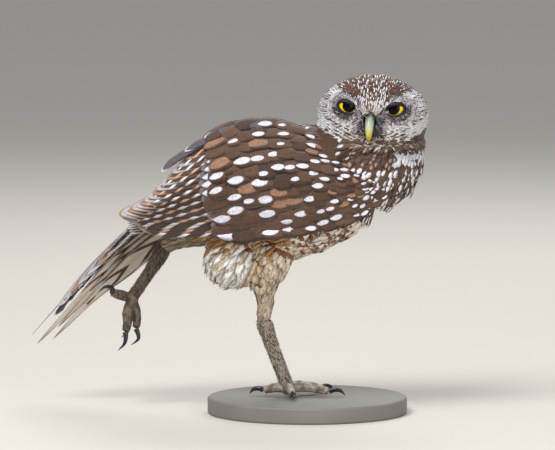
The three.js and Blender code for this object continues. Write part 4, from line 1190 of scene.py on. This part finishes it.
class OWL_OT_eyes(bpy.types.Operator):
    """Yellow eyes with wide pupils, and the dark lids round them"""

    bl_idname = "owl.eyes"
    bl_label = "Eyes"

    def execute(self, context):
        colours, pupil_radius = context.scene.owl_colours, context.scene.owl_sizes.pupil
        lids, lid_faces = [], []
        for index, (name, side) in enumerate((("right", 1), ("left", -1))):
            centre = from_head(EYE * [side, 1, 1])
            gaze = unit(HEAD @ np.array([-side * 0.14, 1.0, 0.19]))
            ball = eyeball_mesh(f"eyeball_{name}", centre, gaze)
            # Wet eye: clear and glossy over a yellow iris with fine spokes and a wide black pupil
            material, tree, shader = surface(f"wet_eye_{name}", 0.08, Specular_IOR_Level=0.12)
            where = add(tree, "TexCoord", out="Object")
            middle = tuple((centre + ANKLE) * MM)
            off = add(tree, "VectorMath", {0: where, 1: middle}, operation="SUBTRACT")
            depth = add(tree, "VectorMath", {0: off, 1: tuple(gaze)}, out="Value", operation="DOT_PRODUCT")
            back = add(tree, "VectorMath", {0: tuple(gaze), "Scale": depth}, operation="SCALE")
            flat = add(tree, "VectorMath", {0: off, 1: back}, operation="SUBTRACT")
            radius = add(tree, "VectorMath", {0: flat}, out="Value", operation="LENGTH")
            way = add(tree, "VectorMath", {0: flat}, operation="NORMALIZE")
            spokes = add(tree, "TexNoise", {"Vector": way, "Scale": 9.0, "Detail": 3.0}, out="Fac")
            light = add(tree, "MapRange", {0: spokes, 1: 0.3, 2: 0.7, 3: 0.75, 4: 1.15})
            iris = add(tree, "VectorMath", {0: tuple(colours.iris), "Scale": light}, operation="SCALE")
            limit = {1: pupil_radius, 2: pupil_radius + 0.0002, 3: 0.0, 4: 1.0}
            pupil = add(tree, "MapRange", {0: radius, **limit})
            rim_start, rim_end = IRIS_RADIUS * MM, (IRIS_RADIUS + IRIS_BLUR) * MM
            rim = add(tree, "MapRange", {0: radius, 1: rim_start, 2: rim_end, 3: 1.0, 4: 0.0})
            shown = add(tree, "Math", {0: pupil, 1: rim}, operation="MULTIPLY")
            wire(tree, shader, iris, shown)
            finish_piece(ball, "eye", material, f"eye_{name}")
            # Lid: rings from the edge of a slanted opening outward, just clear of the eyeball,
            # and back again inside, so that the band is closed
            look = HEAD @ turn("y", -side * EYE_SLANT)
            turns = np.linspace(0, 2 * np.pi, 72, endpoint=False)
            ways = np.linspace(0, 1, 9)[:, None]
            wide, high = mix(OPENING[0], LID_EDGE[0], ways), mix(OPENING[1], LID_EDGE[1], ways)
            flatter = np.where(np.sin(turns) > 0, mix(0.62, 0.9, ways), 1.0)
            x, z = wide * np.cos(turns), high * np.sin(turns) * flatter + OPENING_RISE
            reach = EYE_RADIUS + 0.35 + 0.75 * ease(0, 0.3, ways) - 1.0 * ease(0.4, 1, ways)
            y = np.sqrt(np.maximum(reach**2 - x**2 - z**2, 4.0))
            outer = np.stack(np.broadcast_arrays(x, y, z), -1)
            loop = np.concatenate([outer, outer[::-1] * 0.94]) @ look.T + centre
            rows = len(loop)
            grid = index * rows * len(turns) + np.arange(rows * len(turns)).reshape(rows, -1)
            right, below = np.roll(grid, -1, 1), np.roll(grid, -1, 0)
            lids.append(loop.reshape(-1, 3))
            lid_faces.append(np.stack([grid, right, np.roll(right, -1, 0), below], -1).reshape(-1, 4))
        # Lid skin: thin, dark and slightly moist at the edge
        material, tree, shader, _, grain = grained("lid_skin", 0.5, 1500.0, 2.0, Specular_IOR_Level=0.3)
        light = add(tree, "MapRange", {0: grain, 3: 0.6, 4: 1.5})
        wire(tree, shader, tuple(srgb("#171417")), light)
        finish_piece(object_of("eyelids", np.vstack(lids), lid_faces), "plumage_brown", material)
        return {"FINISHED"}


class OWL_OT_base(bpy.types.Operator):
    """The round base's painted finish"""

    bl_idname = "owl.base"
    bl_label = "Base"

    def execute(self, context):
        # Matt paint over a turned board: even, with a faint orange-peel texture
        material, tree, shader, where, peel = grained("matt_paint", 0.6, 600.0, 2.0)
        cloud = add(tree, "TexNoise", {"Vector": where, "Scale": 30.0}, out="Fac")
        light = add(tree, "MapRange", {0: cloud, 1: 0.3, 2: 0.7, 3: 0.92, 4: 1.06})
        wire(tree, shader, tuple(srgb("#77736d")), light, peel, 0.15, 0.0002)
        # A turned profile: flat faces joined by quarter circles to an upright edge
        arc = np.linspace(0, np.pi / 2, 7)
        inner = BASE_RADIUS - BASE_BEVEL
        bottom_edge, top_edge = inner + BASE_BEVEL * np.sin(arc), inner + BASE_BEVEL * np.cos(arc)
        radius = np.concatenate([[30, 50], bottom_edge, top_edge, [50, 30]])
        low, high = BASE_BEVEL * (1 - np.cos(arc)), BASE_HEIGHT - BASE_BEVEL * (1 - np.sin(arc))
        height = np.concatenate([[0, 0], low, high, [BASE_HEIGHT] * 2])[:, None]
        turns = np.linspace(0, 2 * np.pi, 128, endpoint=False)
        x, y = radius[:, None] * np.cos(turns), radius[:, None] * np.sin(turns)
        rings = np.stack(np.broadcast_arrays(x, y, height), -1)
        places = np.vstack([rings.reshape(-1, 3), [[0, 0, 0], [0, 0, BASE_HEIGHT]]]) - ANKLE
        board = object_of("base_board", places, tube_faces(0, len(radius), 128))
        finish_piece(board, "stand_paint", material, "stand_base")
        return {"FINISHED"}


class OWL_OT_stage(bpy.types.Operator):
    """Plain pale floor, soft studio light and a long lens from the bird's right side"""

    bl_idname = "owl.stage"
    bl_label = "Stage"

    def execute(self, context):
        scene = context.scene
        scene.view_settings.view_transform = "Standard"
        # In metres: 9 to either side, 6 in front of the bird and 24 behind it
        corners = np.array([[-9, -6, 0], [9, -6, 0], [9, 24, 0], [-9, 24, 0]]) / MM
        floor = object_of("floor", corners - ANKLE, [np.array([[0, 1, 2, 3]])])
        # Seamless paper: matt and even
        material, _, shader = surface("seamless_paper", 0.9)
        shader.inputs["Base Color"].default_value = (*scene.owl_colours.floor, 1)
        floor.data.materials.append(material)
        distance, high = 3.0, math.radians(5.0)
        width_seen = 0.6 * MM * 555  # the photograph shows 0.6 mm of the owl in each of its 555 pixels
        target = (np.array([-3.9, 0, 103.0]) + ANKLE) * MM
        camera = linked("camera", bpy.data.cameras.new("camera"))
        camera.location = target + np.array([0, -math.cos(high), math.sin(high)]) * distance
        camera.rotation_euler = (math.pi / 2 - high, 0, 0)
        sensor = 36.0
        camera.data.sensor_width = sensor
        camera.data.lens = sensor * distance / width_seen
        scene.camera = camera
        world = bpy.data.worlds.new("studio")
        scene.world = world
        world.use_nodes = True
        background = world.node_tree.nodes["Background"]
        background.inputs["Color"].default_value = (*srgb("#e4e6ea"), 1)
        background.inputs["Strength"].default_value = 0.55
        aim = np.array([0.0, 0.0, 0.12])
        for name, place, size, power in (
            ("key", (-0.6, -1.0, 1.5), 0.8, 30.0),
            ("fill", (0.9, -1.5, 0.3), 1.2, 14.0),
            ("rim", (0.2, 1.2, 1.3), 0.9, 12.0),
        ):
            light = linked(name, bpy.data.lights.new(name, "AREA"))
            light.data.size, light.data.energy = size, power
            way = aim - place
            tilt = math.acos(-way[2] / np.linalg.norm(way))
            light.location = place
            light.rotation_euler = (tilt, 0, math.atan2(-way[0], way[1]))
        return {"FINISHED"}


class OWL_PT_panel(bpy.types.Panel):
    bl_label = "Burrowing owl"
    bl_idname = "OWL_PT_panel"
    bl_space_type = "VIEW_3D"
    bl_region_type = "UI"
    bl_category = "Owl"

    def draw(self, context):
        for group in (context.scene.owl_colours, context.scene.owl_sizes):
            for key in type(group).__annotations__:
                self.layout.prop(group, key)
        for operator in STEPS:
            self.layout.operator(operator.bl_idname)


STEPS = (
    OWL_OT_stage,
    OWL_OT_skin,
    OWL_OT_head_coat,
    OWL_OT_body_coat,
    OWL_OT_wings,
    OWL_OT_tail,
    OWL_OT_legs,
    OWL_OT_claws,
    OWL_OT_bill,
    OWL_OT_eyes,
    OWL_OT_base,
)
CLASSES = (OwlColours, OwlSizes, *STEPS, OWL_PT_panel)


def register():
    for made in CLASSES:
        bpy.utils.register_class(made)
    bpy.types.Scene.owl_colours = bpy.props.PointerProperty(type=OwlColours)
    bpy.types.Scene.owl_sizes = bpy.props.PointerProperty(type=OwlSizes)


def unregister():
    del bpy.types.Scene.owl_colours
    del bpy.types.Scene.owl_sizes
    for made in reversed(CLASSES):
        bpy.utils.unregister_class(made)


def main():
    register()
    for step in STEPS:
        getattr(bpy.ops.owl, step.bl_idname.split(".")[1])()


if __name__ == "__main__":
    main()
